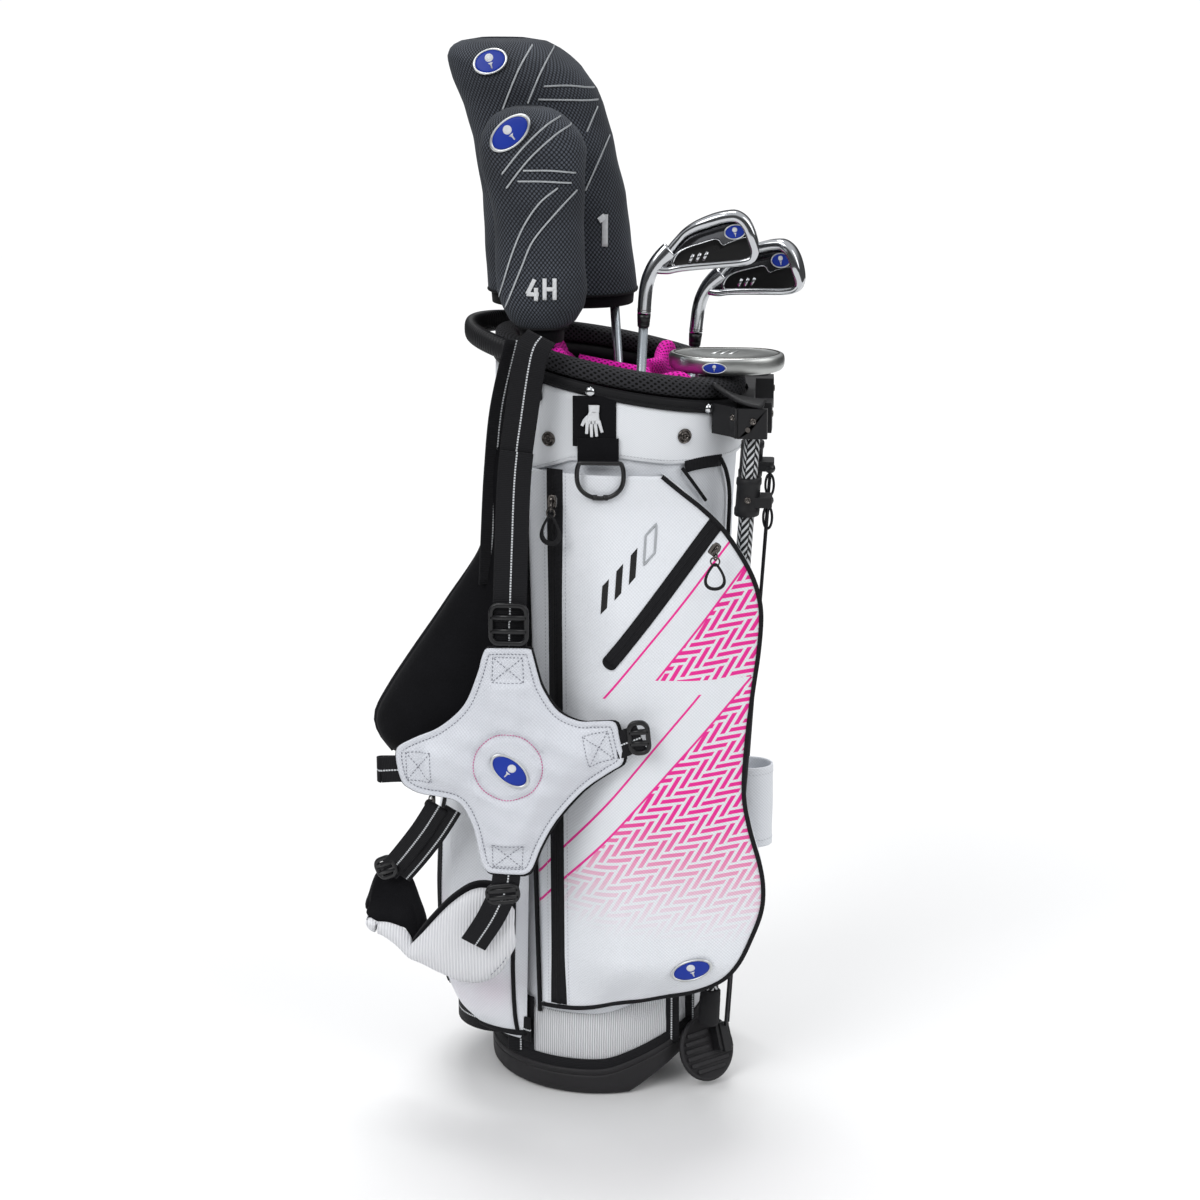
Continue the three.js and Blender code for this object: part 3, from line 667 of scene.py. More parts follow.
def make_shell():
    """The tube: white fabric outside with soft dents between its ribs, black mesh inside."""
    def top(turn):
        return rim_height(TOP_SHIFT + TOP_RX * math.cos(turn)) - SKIRT_DEPTH + 4.5

    def foot(turn):
        return 7 + boot_bottom(BASE_RADIUS * math.cos(turn))

    def outer(turn, share):
        z = lerp(foot(turn), top(turn), share)
        dent = math.sin(z / 46 + 2.1 * math.sin(turn * 2)) * math.sin(turn * 3 + z / 120)
        return tube_point(turn, z, -1.0 + 0.9 * dent * ease(z, 90, 200) * (1 - ease(z, 590, 640)))

    steps = 60
    rows = [[outer(turn, i / steps) for turn in ring] for i in range(steps + 1)]
    rows += [[tube_point(turn, lerp(foot(turn), top(turn), 1 - i / 20), -TUBE_WALL) for turn in ring]
             for i in range(21)]
    shell = surface("bag_shell", "bag", rows, looks["white"], around=True, along=True,
                    replaces=["bag_tube"])
    shell.data.materials.append(looks["lining"].material)
    for polygon in shell.data.polygons:
        polygon.material_index = 1 if polygon.index // AROUND > steps else 0


def make_base_trim():
    """What shows between the pockets and the boot: ribbed white band, black trim and webbing ends."""
    ribbed = Look("ribbed white band", (206, 207, 209), 0.75)
    ribs = ribbed.waves(ribbed.axis(ribbed.cloth(), 0), 2.3)
    # Painted light and shade: the band is coloured lighter on its ribs and darker in the grooves between
    # them.
    ribbed.color(ribbed.mix(ribbed.math("MULTIPLY_ADD", ribs, 0.5, 0.5), linear((176, 178, 181)),
                            linear((228, 229, 232))))
    ribbed.bump(ribs, 0.4)
    band = [[tube_point(turn, lerp(boot_top(BASE_RADIUS * math.cos(turn)) - 4,
                                   86 + 30 * ease(math.cos(turn), 0, 1), share),
                        0.9 + lift) for turn in ring]
            for share, lift in ((0, -1.4), (0.02, 0), (0.5, 0), (0.98, 0), (1, -1.4))]
    surface("base_band", "bag", band, ribbed, around=True)
    trim = [[tube_point(turn, boot_top(BASE_RADIUS * math.cos(turn)) + height, out) for turn in ring]
            for out, height in ((1, -6), (3.6, -6), (3.9, 1), (3.4, 8), (2.6, 9.5), (1, 9.5))]
    surface("base_trim", "bag", trim, looks["binding"], around=True, along=True)


def make_cuff():
    """The coated band under the rim, with its wavy stitched lower edge."""
    edge = [(-110, 628), (-60, 632), (-20, 648), (23, 653), (72, 645), (139, 642)]

    def low(turn):
        x = TOP_SHIFT + TOP_RX * math.cos(turn)
        near = float(np.interp(x, [p[0] for p in edge], [p[1] for p in edge]))
        far = float(np.interp(x, (-110, 139), (628, 642)))
        return lerp(far, near, ease(-math.sin(turn), -0.2, 0.35))

    def top(turn):
        return rim_height(TOP_SHIFT + TOP_RX * math.cos(turn)) - SKIRT_DEPTH - 0.8

    section = [(0.4, 0.0), (2.3, 0.0), (2.9, 0.012), (3.0, 0.1), (3.2, 0.5), (2.9, 0.9), (2.8, 1), (0.4, 1)]
    rows = [[tube_point(turn, lerp(low(turn), top(turn), share), out) for turn in ring]
            for out, share in section]
    surface("cuff", "bag", rows, looks["cuff"], around=True, along=True, replaces=["cuff_band"])
    seam = [tube_point(turn, low(turn) + 3.5, 3.15) for turn in ring] + [tube_point(0, low(0) + 3.5, 3.15)]
    stitches("cuff_stitches", "bag", seam, looks["thread"], 1.7, 1.5, 0.3)


def make_rim():
    """The smooth collar and the mesh roll on it."""
    collar = [(0.5, -30), (4.2, -30), (5, -29.4), (5.4, -27), (5.6, -20.6), (5.1, -19.5), (-6, -19.4),
              (-18, -19.4), (-19, -20), (-19, -34), (-8.6, -34), (-8.6, -24), (0.5, -24)]
    rim_hoop("collar", collar, looks["collar"], replaces=["top_collar"])
    seam = [rim_point(turn, 5.75, -25.5) for turn in ring]
    cord("collar_seam", "bag", seam, 0.45, looks["binding"], 6, closed=True)
    piping = [rim_point(turn, 3.0, -20.0) for turn in ring]
    cord("collar_piping", "bag", piping, 1.5, looks["binding"], 8, closed=True)
    section = [(-8.5 + 11.5 * signed(math.cos(t), 0.72), ROLL_HEIGHT / 2 * (signed(math.sin(t), 0.8) - 1))
               for t in full_turn(28)]
    rim_hoop("roll", section, looks["mesh"], replaces=["rim_roll"])


def make_divider():
    """Padded mesh bars across the mouth. Each rises to a rounded lobe where it meets the rim."""
    middle, fork = (45, 0), (-22, -3)
    bars = {
        "middle": [fork, (10, -3), middle],
        "near_right": [middle, (72, -40), (96, -66)],
        "far_right": [middle, (60, 34), (66, 66)],
        "near_left": [fork, (-26, -40), (-29, -66)],
        "far_left": [fork, (-42, 27), (-52, 52)],
    }
    section = [(6.4 * signed(math.cos(t), 0.8), 22 * signed(math.sin(t), 0.45)) for t in full_turn(28)]
    for name, path in bars.items():
        lift = 0 if name == "middle" else 15
        points = spline([(x, y, rim_height(x) - 28) for x, y in path], 26)
        points = [p + Vector((0, 0, lift * ease(i / 26, 0.35, 1.0))) for i, p in enumerate(points)]

        def swell(t, outer=name != "middle"):
            tip = 1 - 0.5 * max(0.0, (t - 0.86) / 0.14) ** 2 if outer else 1
            return (1.0 + 0.28 * ease(t, 0.4, 0.85) * outer) * tip, tip
        across = (0.7, -0.7, 0) if name == "far_right" else None
        bar = sweep(f"divider_{name}", "bag", points, section, looks["magenta"], across=across, scale=swell)
        if name == "middle":
            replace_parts(bar, "divider")


def make_handle():
    """The grab handle: a ribbed grip between two smooth ends, with a post into each."""
    low, high = math.radians(125), math.radians(235)
    steps = 330

    def centre(turn):
        x = TOP_SHIFT + 144 * math.cos(turn)
        return Vector((x, 105 * math.sin(turn), rim_height(x) - 8))

    path = [centre(turn) for turn in between(low, high, steps)]
    outward = [Vector((math.cos(turn), math.sin(turn), 0)) for turn in between(low, high, steps)]
    section = [(6.6 * signed(math.cos(t), 0.75), 10.2 * signed(math.sin(t), 0.75)) for t in full_turn(24)]

    def ribs(t):
        if t < 0.07 or t > 0.93:
            size = 1.06 - 0.12 * ease(abs(t - 0.5), 0.488, 0.5)
        else:
            size = 0.94 + 0.075 * ease(math.sin(t * steps * 2 * math.pi / 5), -0.4, 0.4)
        return size, size

    sweep("handle_grip", "bag", path, section, looks["plastic"], across=outward, scale=ribs,
          replaces=["grab_handle"])
    for name, turn in (("far", low), ("near", high)):
        top = centre(turn)
        out = Vector((math.cos(turn), math.sin(turn), 0))
        across = Vector((-out.y, out.x, 0))
        post = [top + out * 2 + Vector((0, 0, 4)), top + out * 2 - Vector((0, 0, 12)),
                Vector((*(top - out * 4).xy, 716)), Vector((*(top - out * 10).xy, 704))]
        sweep(f"handle_end_{name}", "bag", spline(post, 10), rounded(20, 9, 3), looks["plastic"],
              across=across)


def stud(name, at, out, profile, look, body="bag", **options):
    """A small lathe part that stands straight out of a surface."""
    return turned(name, body, at, out, profile, look, 28, **options)


# Lathe profiles of the small hardware, as (radius, height) pairs.
RIVET = [(0.3, -0.5), (4.9, -0.5), (5.0, 0.8), (4.8, 1.8), (4.2, 2.9), (3.2, 3.7), (1.8, 4.2), (0.3, 4.35)]
SNAP = [(0.3, -0.6), (6.9, -0.6), (7.2, 0.5), (6.6, 1.9), (5.8, 2.1), (5.2, 0.6), (4.6, 0.4), (4.2, 1.8),
        (3.5, 2.5), (2.8, 2.3), (2.4, 0.7), (1.9, 0.3), (1.5, 1.2), (0.9, 1.8), (0.3, 1.9)]
SCREW = [(0.3, -0.5), (3.2, -0.5), (3.3, 0.5), (2.9, 1.2), (1.9, 1.4), (1.6, 0.5), (0.3, 0.3)]


def make_studs():
    """The chrome rivets of the collar and the two snaps of the cuff."""
    for i, (x, side) in enumerate(((-1, -1), (104, -1), (-70, 1), (20, 1), (100, 1))):
        turn = side * math.acos((x - TOP_SHIFT) / TOP_RX)
        at = rim_point(turn, 5.2, -25)
        out = Vector((math.cos(turn) / TOP_RX, math.sin(turn) / TOP_RY, 0.0))
        stud(f"rivet_{i}", at, out, RIVET, looks["chrome"])
    for name, x in (("snap_left", -41), ("snap_right", 84)):
        at, out = near_point(x, 667 if x < 0 else 671, 3.3)
        stud(name + "_ring", at, out, SNAP, looks["nickel"], replaces=[name])


def make_glove_tab():
    """Two layers of black tab over the cuff, with a small white hand. The D ring below it is made by
    make_d_ring.
    """
    def strip(name, x, low, high, width, out, thick):
        points = [near_point(x, lerp(low, high, i / 10), out)[0] for i in range(11)]
        return ribbon(name, "bag", points, (1, 0, 0), width, thick, looks["tab"])

    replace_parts(strip("glove_tab_top", 2.5, 664, 712, 41, 5.0, 2.2), "glove_tab")
    strip("glove_tab_loop", 6.0, 647, 672, 39, 6.0, 1.6)
    at = near_point(2, 689, 8.3)[0]
    across = Vector((1, 0, 0))

    def finger(name, points, sizes):
        path = spline([at + across * u + Vector((0, 0, v)) for u, v in points], 12)
        sweep(name, "bag", path, circle(1, 10, 0.5), looks["white print"], across=across,
              scale=lambda t: (lerp(*sizes, t), 1.0))
    finger("hand_cuff", [(0.8, 15), (0.8, 8)], (5.2, 4.9))
    finger("hand_palm", [(0.8, 8.5), (0, 3), (-0.2, -3)], (4.7, 7.2))
    for i, (u, v) in enumerate(((-6.2, -12.5), (-1.5, -15.5), (3.4, -15.0), (8.4, -11.0))):
        root = -5.4 + 3.5 * i
        finger(f"hand_finger_{i}", [(root, 0), ((u + root) / 2, v * 0.5), (u, v)], (1.75, 1.35))
    finger("hand_thumb", [(-4.4, 4), (-8.2, 0), (-10.6, -5)], (2.0, 1.4))


def make_d_ring():
    """A D with a straight top, a round bottom and a small notch at its lowest point."""
    points = []
    for t in full_turn(48):
        c, s = math.cos(t), math.sin(t)
        points.append((8 + 22 * signed(c, 0.72 if s > 0 else 1), -112,
                       638 + min(12.0, (22 if s < 0 else 19) * signed(s, 0.8))))
    path = spline(points, 96, closed=True)

    cord("d_ring_wire", "d_ring", path, 2.25, looks["gloss"], 12, closed=True, replaces=["d_ring"])
    for i, side in enumerate((-1, 1)):
        centre = Vector((8 + side * 5, -112, 616.7))
        cord(f"d_ring_notch_{i}", "d_ring", [centre + Vector((-2.2, 0, 0.1 * side)), centre,
                                             centre + Vector((2.2, 0, 0))],
             2.75, looks["gloss"], 12)


# ---------------------------------------------------------------- zips

def zip_tape(name, points, outward, width):
    """Woven tape with a coil of teeth under a centre seam."""
    half = width / 2
    section = [(half, -0.5), (half, 0.35), (half * 0.45, 0.45), (2.2, 0.55), (1.7, 1.15), (0.6, 1.35),
               (0.18, 1.1), (0, 0.7), (-0.18, 1.1), (-0.6, 1.35), (-1.7, 1.15), (-2.2, 0.55),
               (-half * 0.45, 0.45), (-half, 0.35), (-half, -0.5)]
    grid = []
    for i, (point, out) in enumerate(zip(points, outward)):
        before, after = points[max(i - 1, 0)], points[min(i + 1, len(points) - 1)]
        along = (after - before).normalized()
        across = along.cross(out).normalized()
        grid.append([point + across * u + out * v for u, v in section])
    return surface(name, "bag", grid, looks["zip"], around=True, caps=True,
                   across_at=[u + half for u, _ in section])


def zip_slider(name, body, pull_body, seat, out, along, loop, replaces):
    """A slider with its bridge, two wire rings and a moulded loop that hangs from them."""
    out = Vector(out).normalized()
    along = Vector(along).normalized()
    across = along.cross(out).normalized()
    seat = Vector(seat)
    outline = [(-4.2, -5.4), (-3.4, -6.4), (3.4, -6.4), (4.2, -5.4), (4.6, 2), (3.2, 5.8), (0.8, 6.4),
               (-0.8, 6.4), (-3.2, 5.8), (-4.6, 2)]
    slab(name + "_shell", body, outline, out, 3.4, looks["nickel"], at=seat + out * 2.0, right=across,
         bevel=0.9, replaces=[replaces[0]])
    bridge = spline([seat + along * 4.5 + out * 3, seat + along * 3.4 + out * 5.4, seat + out * 6.3,
                     seat - along * 3.8 + out * 5.2, seat - along * 4.6 + out * 3], 14)
    ribbon(name + "_bridge", body, bridge, across, 2.6, 1.0, looks["nickel"])
    hang = seat + out * 6.8 - Vector((0, 0, 2))
    side = Vector((0, 0, 1)).cross(out).normalized()
    down = Vector((0, 0, -1))

    def ring_at(label, centre, wide, tall, tilt):
        turn_side = side * math.cos(tilt) + out * math.sin(tilt)
        path = [centre + turn_side * wide * math.cos(t) + down * tall * math.sin(t) for t in full_turn(28)]
        cord(label, pull_body, path, 0.8, looks["nickel"], 8, closed=True)
    ring_at(name + "_ring_a", hang + down * 2.6, 4.0, 4.6, 1.2)
    ring_at(name + "_ring_b", hang + down * 8.6, 4.2, 4.2, 0.1)
    wide, tall, thick = loop
    path, sizes = [], []
    for t in full_turn(40):
        lower = 0.5 - 0.5 * math.cos(t)
        spread = math.sin(t) * (0.35 + 0.65 * lower)
        path.append(hang + down * (11.0 + tall * lower) + side * wide * spread + out * 0.6)
        sizes.append(1 + thick * ease(lower, 0.35, 0.9))
    rows = [[point + a * u * size + b * v * size for u, v in circle(1.25, 10)]
            for (point, a, b), size in zip(frames(path, True, out), sizes)]
    surface(name + "_loop", pull_body, rows, looks["rubber"], around=True, along=True,
            replaces=[replaces[1]])


# ---------------------------------------------------------------- the big pocket

# The panel's right edge, from its foot up and over, as (height, x) pairs.
edge_path = spline([(x, 0, z) for z, x in (
    (94, -50), (95, -30), (97, -8), (106, 34), (114, 78), (130, 121), (152, 143), (184, 158), (210, 166),
    (234, 167), (258, 163), (294, 153), (330, 147), (380, 149), (430, 154), (470, 159), (505, 161),
    (527, 158), (546, 151), (565, 140), (588, 123), (606, 104), (622, 84), (637, 66))], 150)


POCKET_LOW, POCKET_HIGH = 94, 640


def pocket_left(z):
    """The front panel's left edge at a height."""
    return lerp(-50, -64, (z - POCKET_LOW) / (POCKET_HIGH - POCKET_LOW))


def pocket_back(x, z):
    """The depth the gusset goes back to: the tube's, or a flat side beyond it."""
    return max(tube_depth(x, z) + 3.4, 100 * ease(x, 62, 92))


def pocket_middle(x, z):
    """The depth the front swells from: the tube's on the left, then a plane."""
    middle, _, ry = tube_at(z)
    return tube_depth(x, z) + 3.4 if x < middle else lerp(ry + 3.4, 100, ease(x, middle, 110))


def pocket_swell(x, z):
    """How far the front stands out: fullest on the right, with soft sags and wrinkles at the foot."""
    fade = ease(z, 90, 160) * (1 - ease(z, 500, 612))
    full = 3.5 + (2 + 33 * fade) * ease(x, -45, 30) * (1 - 0.5 * ease(x, 90, 168))
    sag = 1.3 * math.sin(x / 23 + z / 61) * math.sin(z / 37 - x / 90) * fade * ease(x, -20, 40)
    wrinkle = 1.1 * math.sin(x / 7 + 3 * math.sin(z / 40)) * (1 - ease(z, 112, 165)) * ease(x, -20, 20)
    return full + sag + wrinkle


def pocket_front(x, z, out=0.0):
    """A point on the pocket's front, or straight before it."""
    return Vector((x, -pocket_middle(x, z) - pocket_swell(x, z) - 0.5 - out, z))


def pocket_normal(x, z):
    """The direction straight out of the pocket's front."""
    a = pocket_front(x + 3, z) - pocket_front(x - 3, z)
    b = pocket_front(x, z + 3) - pocket_front(x, z - 3)
    normal = a.cross(b).normalized()
    return normal if normal.y < 0 else -normal


def on_pocket(x, z, out=0.0):
    """A point on the pocket's front, lifted off it by out."""
    return pocket_front(x, z) + pocket_normal(x, z) * out


def printed_white():
    """The pocket's printed cloth: white, a pink herringbone low on the right that fades out below,
    and four fine pink lines beside it."""
    def strokes(look, place):
        cell, flat, steep, run = 8.6, math.radians(6), math.radians(60), 3
        e1, e2 = (math.cos(flat), math.sin(flat)), (math.cos(steep), math.sin(steep))
        area = (e1[0] * e2[1] - e1[1] * e2[0]) * cell
        a = look.dot(place, (e2[1] / area, 0, -e2[0] / area))
        b = look.dot(place, (-e1[1] / area, 0, e1[0] / area))
        fa, fb = look.math("FRACT", a), look.math("FRACT", b)
        row = look.math("FLOORED_MODULO", look.minus(look.math("FLOOR", a), look.math("FLOOR", b)), 2 * run)
        flat_brick = look.math("LESS_THAN", row, run - 0.5)
        along_flat = look.plus(row, fa)
        along_steep = look.plus(look.minus(2 * run - 1, row), fb)
        steep_brick = look.minus(1, flat_brick)
        along = look.plus(look.times(along_flat, flat_brick), look.times(along_steep, steep_brick))
        across = look.plus(look.times(fb, flat_brick), look.times(fa, steep_brick))
        near_line = look.band(look.math("ABSOLUTE", look.minus(across, 0.5)), 0.31, 0.25)
        inside = look.band(look.math("ABSOLUTE", look.minus(along, run / 2)), run / 2 - 0.10,
                           run / 2 - 0.18)
        return look.times(near_line, inside)

    def side_of(look, place, start, end):
        """Millimetres to the right of the line from start down to end."""
        direction = Vector((end[0] - start[0], end[1] - start[1])).normalized()
        normal = (-direction.y, direction.x)
        offset = normal[0] * start[0] + normal[1] * start[1]
        return look.minus(look.dot(place, (normal[0], 0, normal[1])), offset)

    def tint(look, place):
        z = look.axis(place, 2)
        # The print's edge is one slanting line above this height and another below it.
        step = 447.0
        upper = side_of(look, place, (151.6, 563.2), (71.4, 457.5))
        lower = side_of(look, place, (143.0, 435.1), (-13.6, 249.0))
        above = look.math("GREATER_THAN", z, step)
        right = look.plus(look.times(look.math("GREATER_THAN", upper, 0), above),
                          look.times(look.math("GREATER_THAN", lower, 0),
                                     look.minus(1, above)))
        fade = look.band(look.plus(z, look.times(look.axis(place, 0), 0.12)), 182, 330)
        share = look.times(look.times(strokes(look, place), right), fade)
        for start, end, low, high in (((135.6, 583.2), (13.9, 427.8), 427, 700),
                                      ((151.6, 563.2), (71.4, 457.5), step, 700),
                                      ((104.6, 432.8), (-13.6, 283.1), 200, 433),
                                      ((143.0, 435.1), (-13.6, 249.0), 200, step)):
            gap = look.math("ABSOLUTE", side_of(look, place, start, end))
            line = look.band(gap, 1.25, 0.85)
            inside = look.times(look.math("GREATER_THAN", z, low), look.math("LESS_THAN", z, high))
            share = look.math("MAXIMUM", share, look.times(line, inside))
        front = look.math("LESS_THAN", look.axis(place, 1), -60.0)
        return look.mix(look.times(share, front), look.base, linear(PINK))

    def flat(look):
        place = look.place()
        return look.node("CombineXYZ", look.axis(place, 0), look.axis(place, 2), 0.0)
    return honeycomb("printed honeycomb polyester", WHITE, tint=tint, coordinates=flat)


def make_garment_pocket():
    """The big pocket: a front panel, the gusset behind its piping, and a flat back on the right. Its two
    zips and the trim on it are made apart.
    """
    columns = 72
    front = []
    for point in edge_path:
        z, right = point.z, point.x
        row = []
        for i in range(columns + 1):
            x = lerp(pocket_left(z), right, i / columns)
            rim = min((x - pocket_left(z)) / 4, 1)
            row.append(pocket_front(x, z) + Vector((0, 3.5 * (1 - rim) ** 2, 0)))
        front.append(row)
    panel = surface("pocket_front", "bag", front, printed_white(), replaces=["garment_pocket"])
    thicken(panel, CLOTH)
    gusset = []
    for point in edge_path:
        lip = pocket_front(point.x, point.z)
        back = Vector((point.x - 1.5, -pocket_back(point.x, point.z), point.z))
        swell = ease(point.z, 96, 150)
        gusset.append([lip.lerp(back, share) + Vector((1.5 * math.sin(share * math.pi) * swell, 0, 0))
                       for share in between(0, 1, 10)])
    thicken(surface("pocket_gusset", "bag", gusset, looks["white"]), CLOTH)
    back = [[Vector((lerp(30, p.x - 1.5, i / 16), -pocket_back(lerp(30, p.x - 1.5, i / 16), p.z), p.z))
             for i in range(17)] for p in edge_path if p.x > 62]
    surface("pocket_back", "bag", back, looks["white"])
    piping = [pocket_front(p.x, p.z, 0.8) for p in edge_path]
    cord("pocket_piping", "bag", piping, 2.3, looks["binding"], 10)


def make_pocket_zips():
    """The tapes of the big pocket's two zips, their seams and stitches. Returns the short zip's way."""
    heights = between(98, 640, 60)

    def zip_x(z):
        return lerp(-33, -36, (z - 98) / 542)
    left = [on_pocket(zip_x(z), z, 0.7) for z in heights]
    outward = [pocket_normal(zip_x(z), z) for z in heights]
    zip_tape("garment_zip_tape", left, outward, 17)
    seam = spline([near_point(pocket_left(z) - 1.5, z, 4.0)[0] for z in between(84, 640, 12)], 60)
    cord("panel_piping", "bag", seam, 2.3, looks["binding"], 8)
    for name, shift in (("left", -10.4), ("right", 10.4)):
        line = [on_pocket(zip_x(z) + shift, z, 0.8) for z in heights]
        stitches(f"garment_zip_stitches_{name}", "bag", line, looks["thread"], 2.0, 1.6, 0.28)
    start, end = Vector((118, 0, 594)), Vector((19, 0, 463))
    steps = 40
    line = [start.lerp(end, i / steps) for i in range(steps + 1)]
    welt_path = [on_pocket(p.x, p.z, 0.9) for p in line]
    outward = [pocket_normal(p.x, p.z) for p in line]
    zip_tape("valuables_zip_tape", welt_path, outward, 15)
    direction = (end - start).normalized()
    cap_at = on_pocket(end.x, end.z, 0.6)
    cap_out = pocket_normal(end.x, end.z)
    cap_side = direction.cross(cap_out).normalized()
    arc = [(7.5 * math.cos(t), 5.5 * math.sin(t)) for t in (math.pi * i / 12 for i in range(13))]
    rows = [[cap_at + cap_side * u + direction * v + cap_out * h for u, v in arc] for h in (-0.4, 0.9)]
    soften(surface("valuables_zip_end", "bag", rows, looks["binding"], around=True, caps=True), 0.4)
    for k, side in enumerate((-1, 1)):
        shift = Vector((direction.z, 0, -direction.x)) * side * 9.3
        row = [on_pocket(p.x + shift.x, p.z + shift.z, 0.35) for p in line[1:]]
        stitches(f"welt_stitches_{k}", "bag", row, looks["thread"], 2.0, 1.5, 0.28)
    return direction


def make_pocket_mark():
    """Three slanted black bars and a silver outline bar, embroidered proud of the cloth."""
    half_up, half_across = Vector((0.6, 13.0)), Vector((3.1, 3.5))
    for k, (x, z) in enumerate(((14, 526), (27, 540), (40, 554))):
        corners = [-half_up - half_across, half_across - half_up, half_up + half_across,
                   half_up - half_across]
        raised_patch(f"mark_bar_{k}", [(x + c.x, z + c.y) for c in corners], looks["black print"])
    frame_points = [(50, 555), (60, 566), (61, 592), (51, 581), (50, 555)]
    path = [on_pocket(x, z, 0.6) for x, z in frame_points]
    closed = resample(path, 44)[:-1]
    cord("mark_outline", "bag", closed, 1.1, looks["silver thread"], 8, closed=True)


def raised_patch(name, corners, look):
    """A four cornered patch that follows the pocket's front, from its corners in order."""
    a, b, c, d = (Vector(corner) for corner in corners)
    middle = (a + b + c + d) / 4
    shares = between(0, 1, 6)
    grid = [[a.lerp(d, down).lerp(b.lerp(c, down), across) for across in shares] for down in shares]
    border = (grid[0][:-1] + [row[-1] for row in grid[:-1]]
              + grid[-1][:0:-1] + [row[0] for row in grid[:0:-1]])
    profile = ((1.0, -0.4), (1.0, 0.6), (0.94, 1.0), (0.6, 1.0), (0.3, 1.0), (0.03, 1.0))
    rows = [[on_pocket(*middle.lerp(p, share), out) for p in border] for share, out in profile]
    return surface(name, "bag", rows, look, around=True, caps=True)


def badge(name, body, at, out, right, wide, tall, depth=1.4):
    """An oval badge: silver rim, blue field, and a plain white ball on a tee."""
    at, out = Vector(at), Vector(out).normalized()
    right = (Vector(right) - out * Vector(right).dot(out)).normalized()
    up = out.cross(right)

    def oval(scale):
        return [(wide / 2 * scale * math.cos(t), tall / 2 * scale * math.sin(t)) for t in full_turn(48)]
    rim = []
    for scale, height in ((0.85, 0.2), (0.86, depth * 1.0), (0.92, depth * 1.25), (0.98, depth * 1.1),
                          (1.0, depth * 0.5), (0.99, -0.6), (0.85, -0.6)):
        rim.append([at + right * u + up * v + out * height for u, v in oval(scale)])
    surface(name + "_rim", body, rim, looks["badge rim"], around=True, along=True)
    field = [[at + right * u + up * v + out * height for u, v in oval(scale)]
             for scale, height in ((0.87, -0.5), (0.87, depth * 0.75), (0.72, depth * 0.95),
                                   (0.4, depth * 1.05), (0.02, depth * 1.1))]
    surface(name + "_field", body, field, looks["badge blue"], around=True, caps=True)
    ball = [(0.1, 0), (tall * 0.17, 0), (tall * 0.16, 0.4), (tall * 0.11, 0.7), (0.1, 0.8)]
    turned(name + "_ball", body, at + up * tall * 0.14 + out * depth * 0.95, out, ball,
           looks["white print"], 20)
    tee = [(-tall * 0.10, -tall * 0.07), (tall * 0.10, -tall * 0.07), (tall * 0.035, -tall * 0.14),
           (tall * 0.02, -tall * 0.3), (-tall * 0.02, -tall * 0.3), (-tall * 0.035, -tall * 0.14)]
    slab(name + "_tee", body, tee, out, 0.5, looks["white print"], at=at + out * depth * 1.15,
         right=right, bevel=0)


# ---------------------------------------------------------------- the ball pocket and side trim

def ball_point(turn, z, out=0.0):
    """A point on the ball pocket's outer face. turn is the angle round the bag."""
    levels = ((50, 0.2), (60, 0.45), (75, 0.7), (95, 0.86), (130, 1), (200, 1), (270, 0.97), (305, 0.86),
              (325, 0.6), (335, 0.22))
    fullness = float(np.interp(z, [p[0] for p in levels], [p[1] for p in levels]))
    share = (turn - math.radians(127)) / math.radians(106)
    fade = ease(z, 70, 130) * (1 - ease(z, 270, 320))
    sag = 1.2 * math.sin(z / 31 + turn * 5) * math.sin(turn * 9) * fade
    depth = 5 + (54 * fullness + sag) * min(1, max(0.0, math.sin(share * math.pi)) ** 0.8 * 1.45)
    return tube_point(turn, z, 1.6 + depth + out)


def ball_normal(turn, z):
    """The direction straight out of the ball pocket's face."""
    a = ball_point(turn + 0.03, z) - ball_point(turn - 0.03, z)
    b = ball_point(turn, z + 3) - ball_point(turn, z - 3)
    normal = a.cross(b).normalized()
    away = Vector((math.cos(turn), math.sin(turn), 0))
    return normal if normal.dot(away) > 0 else -normal


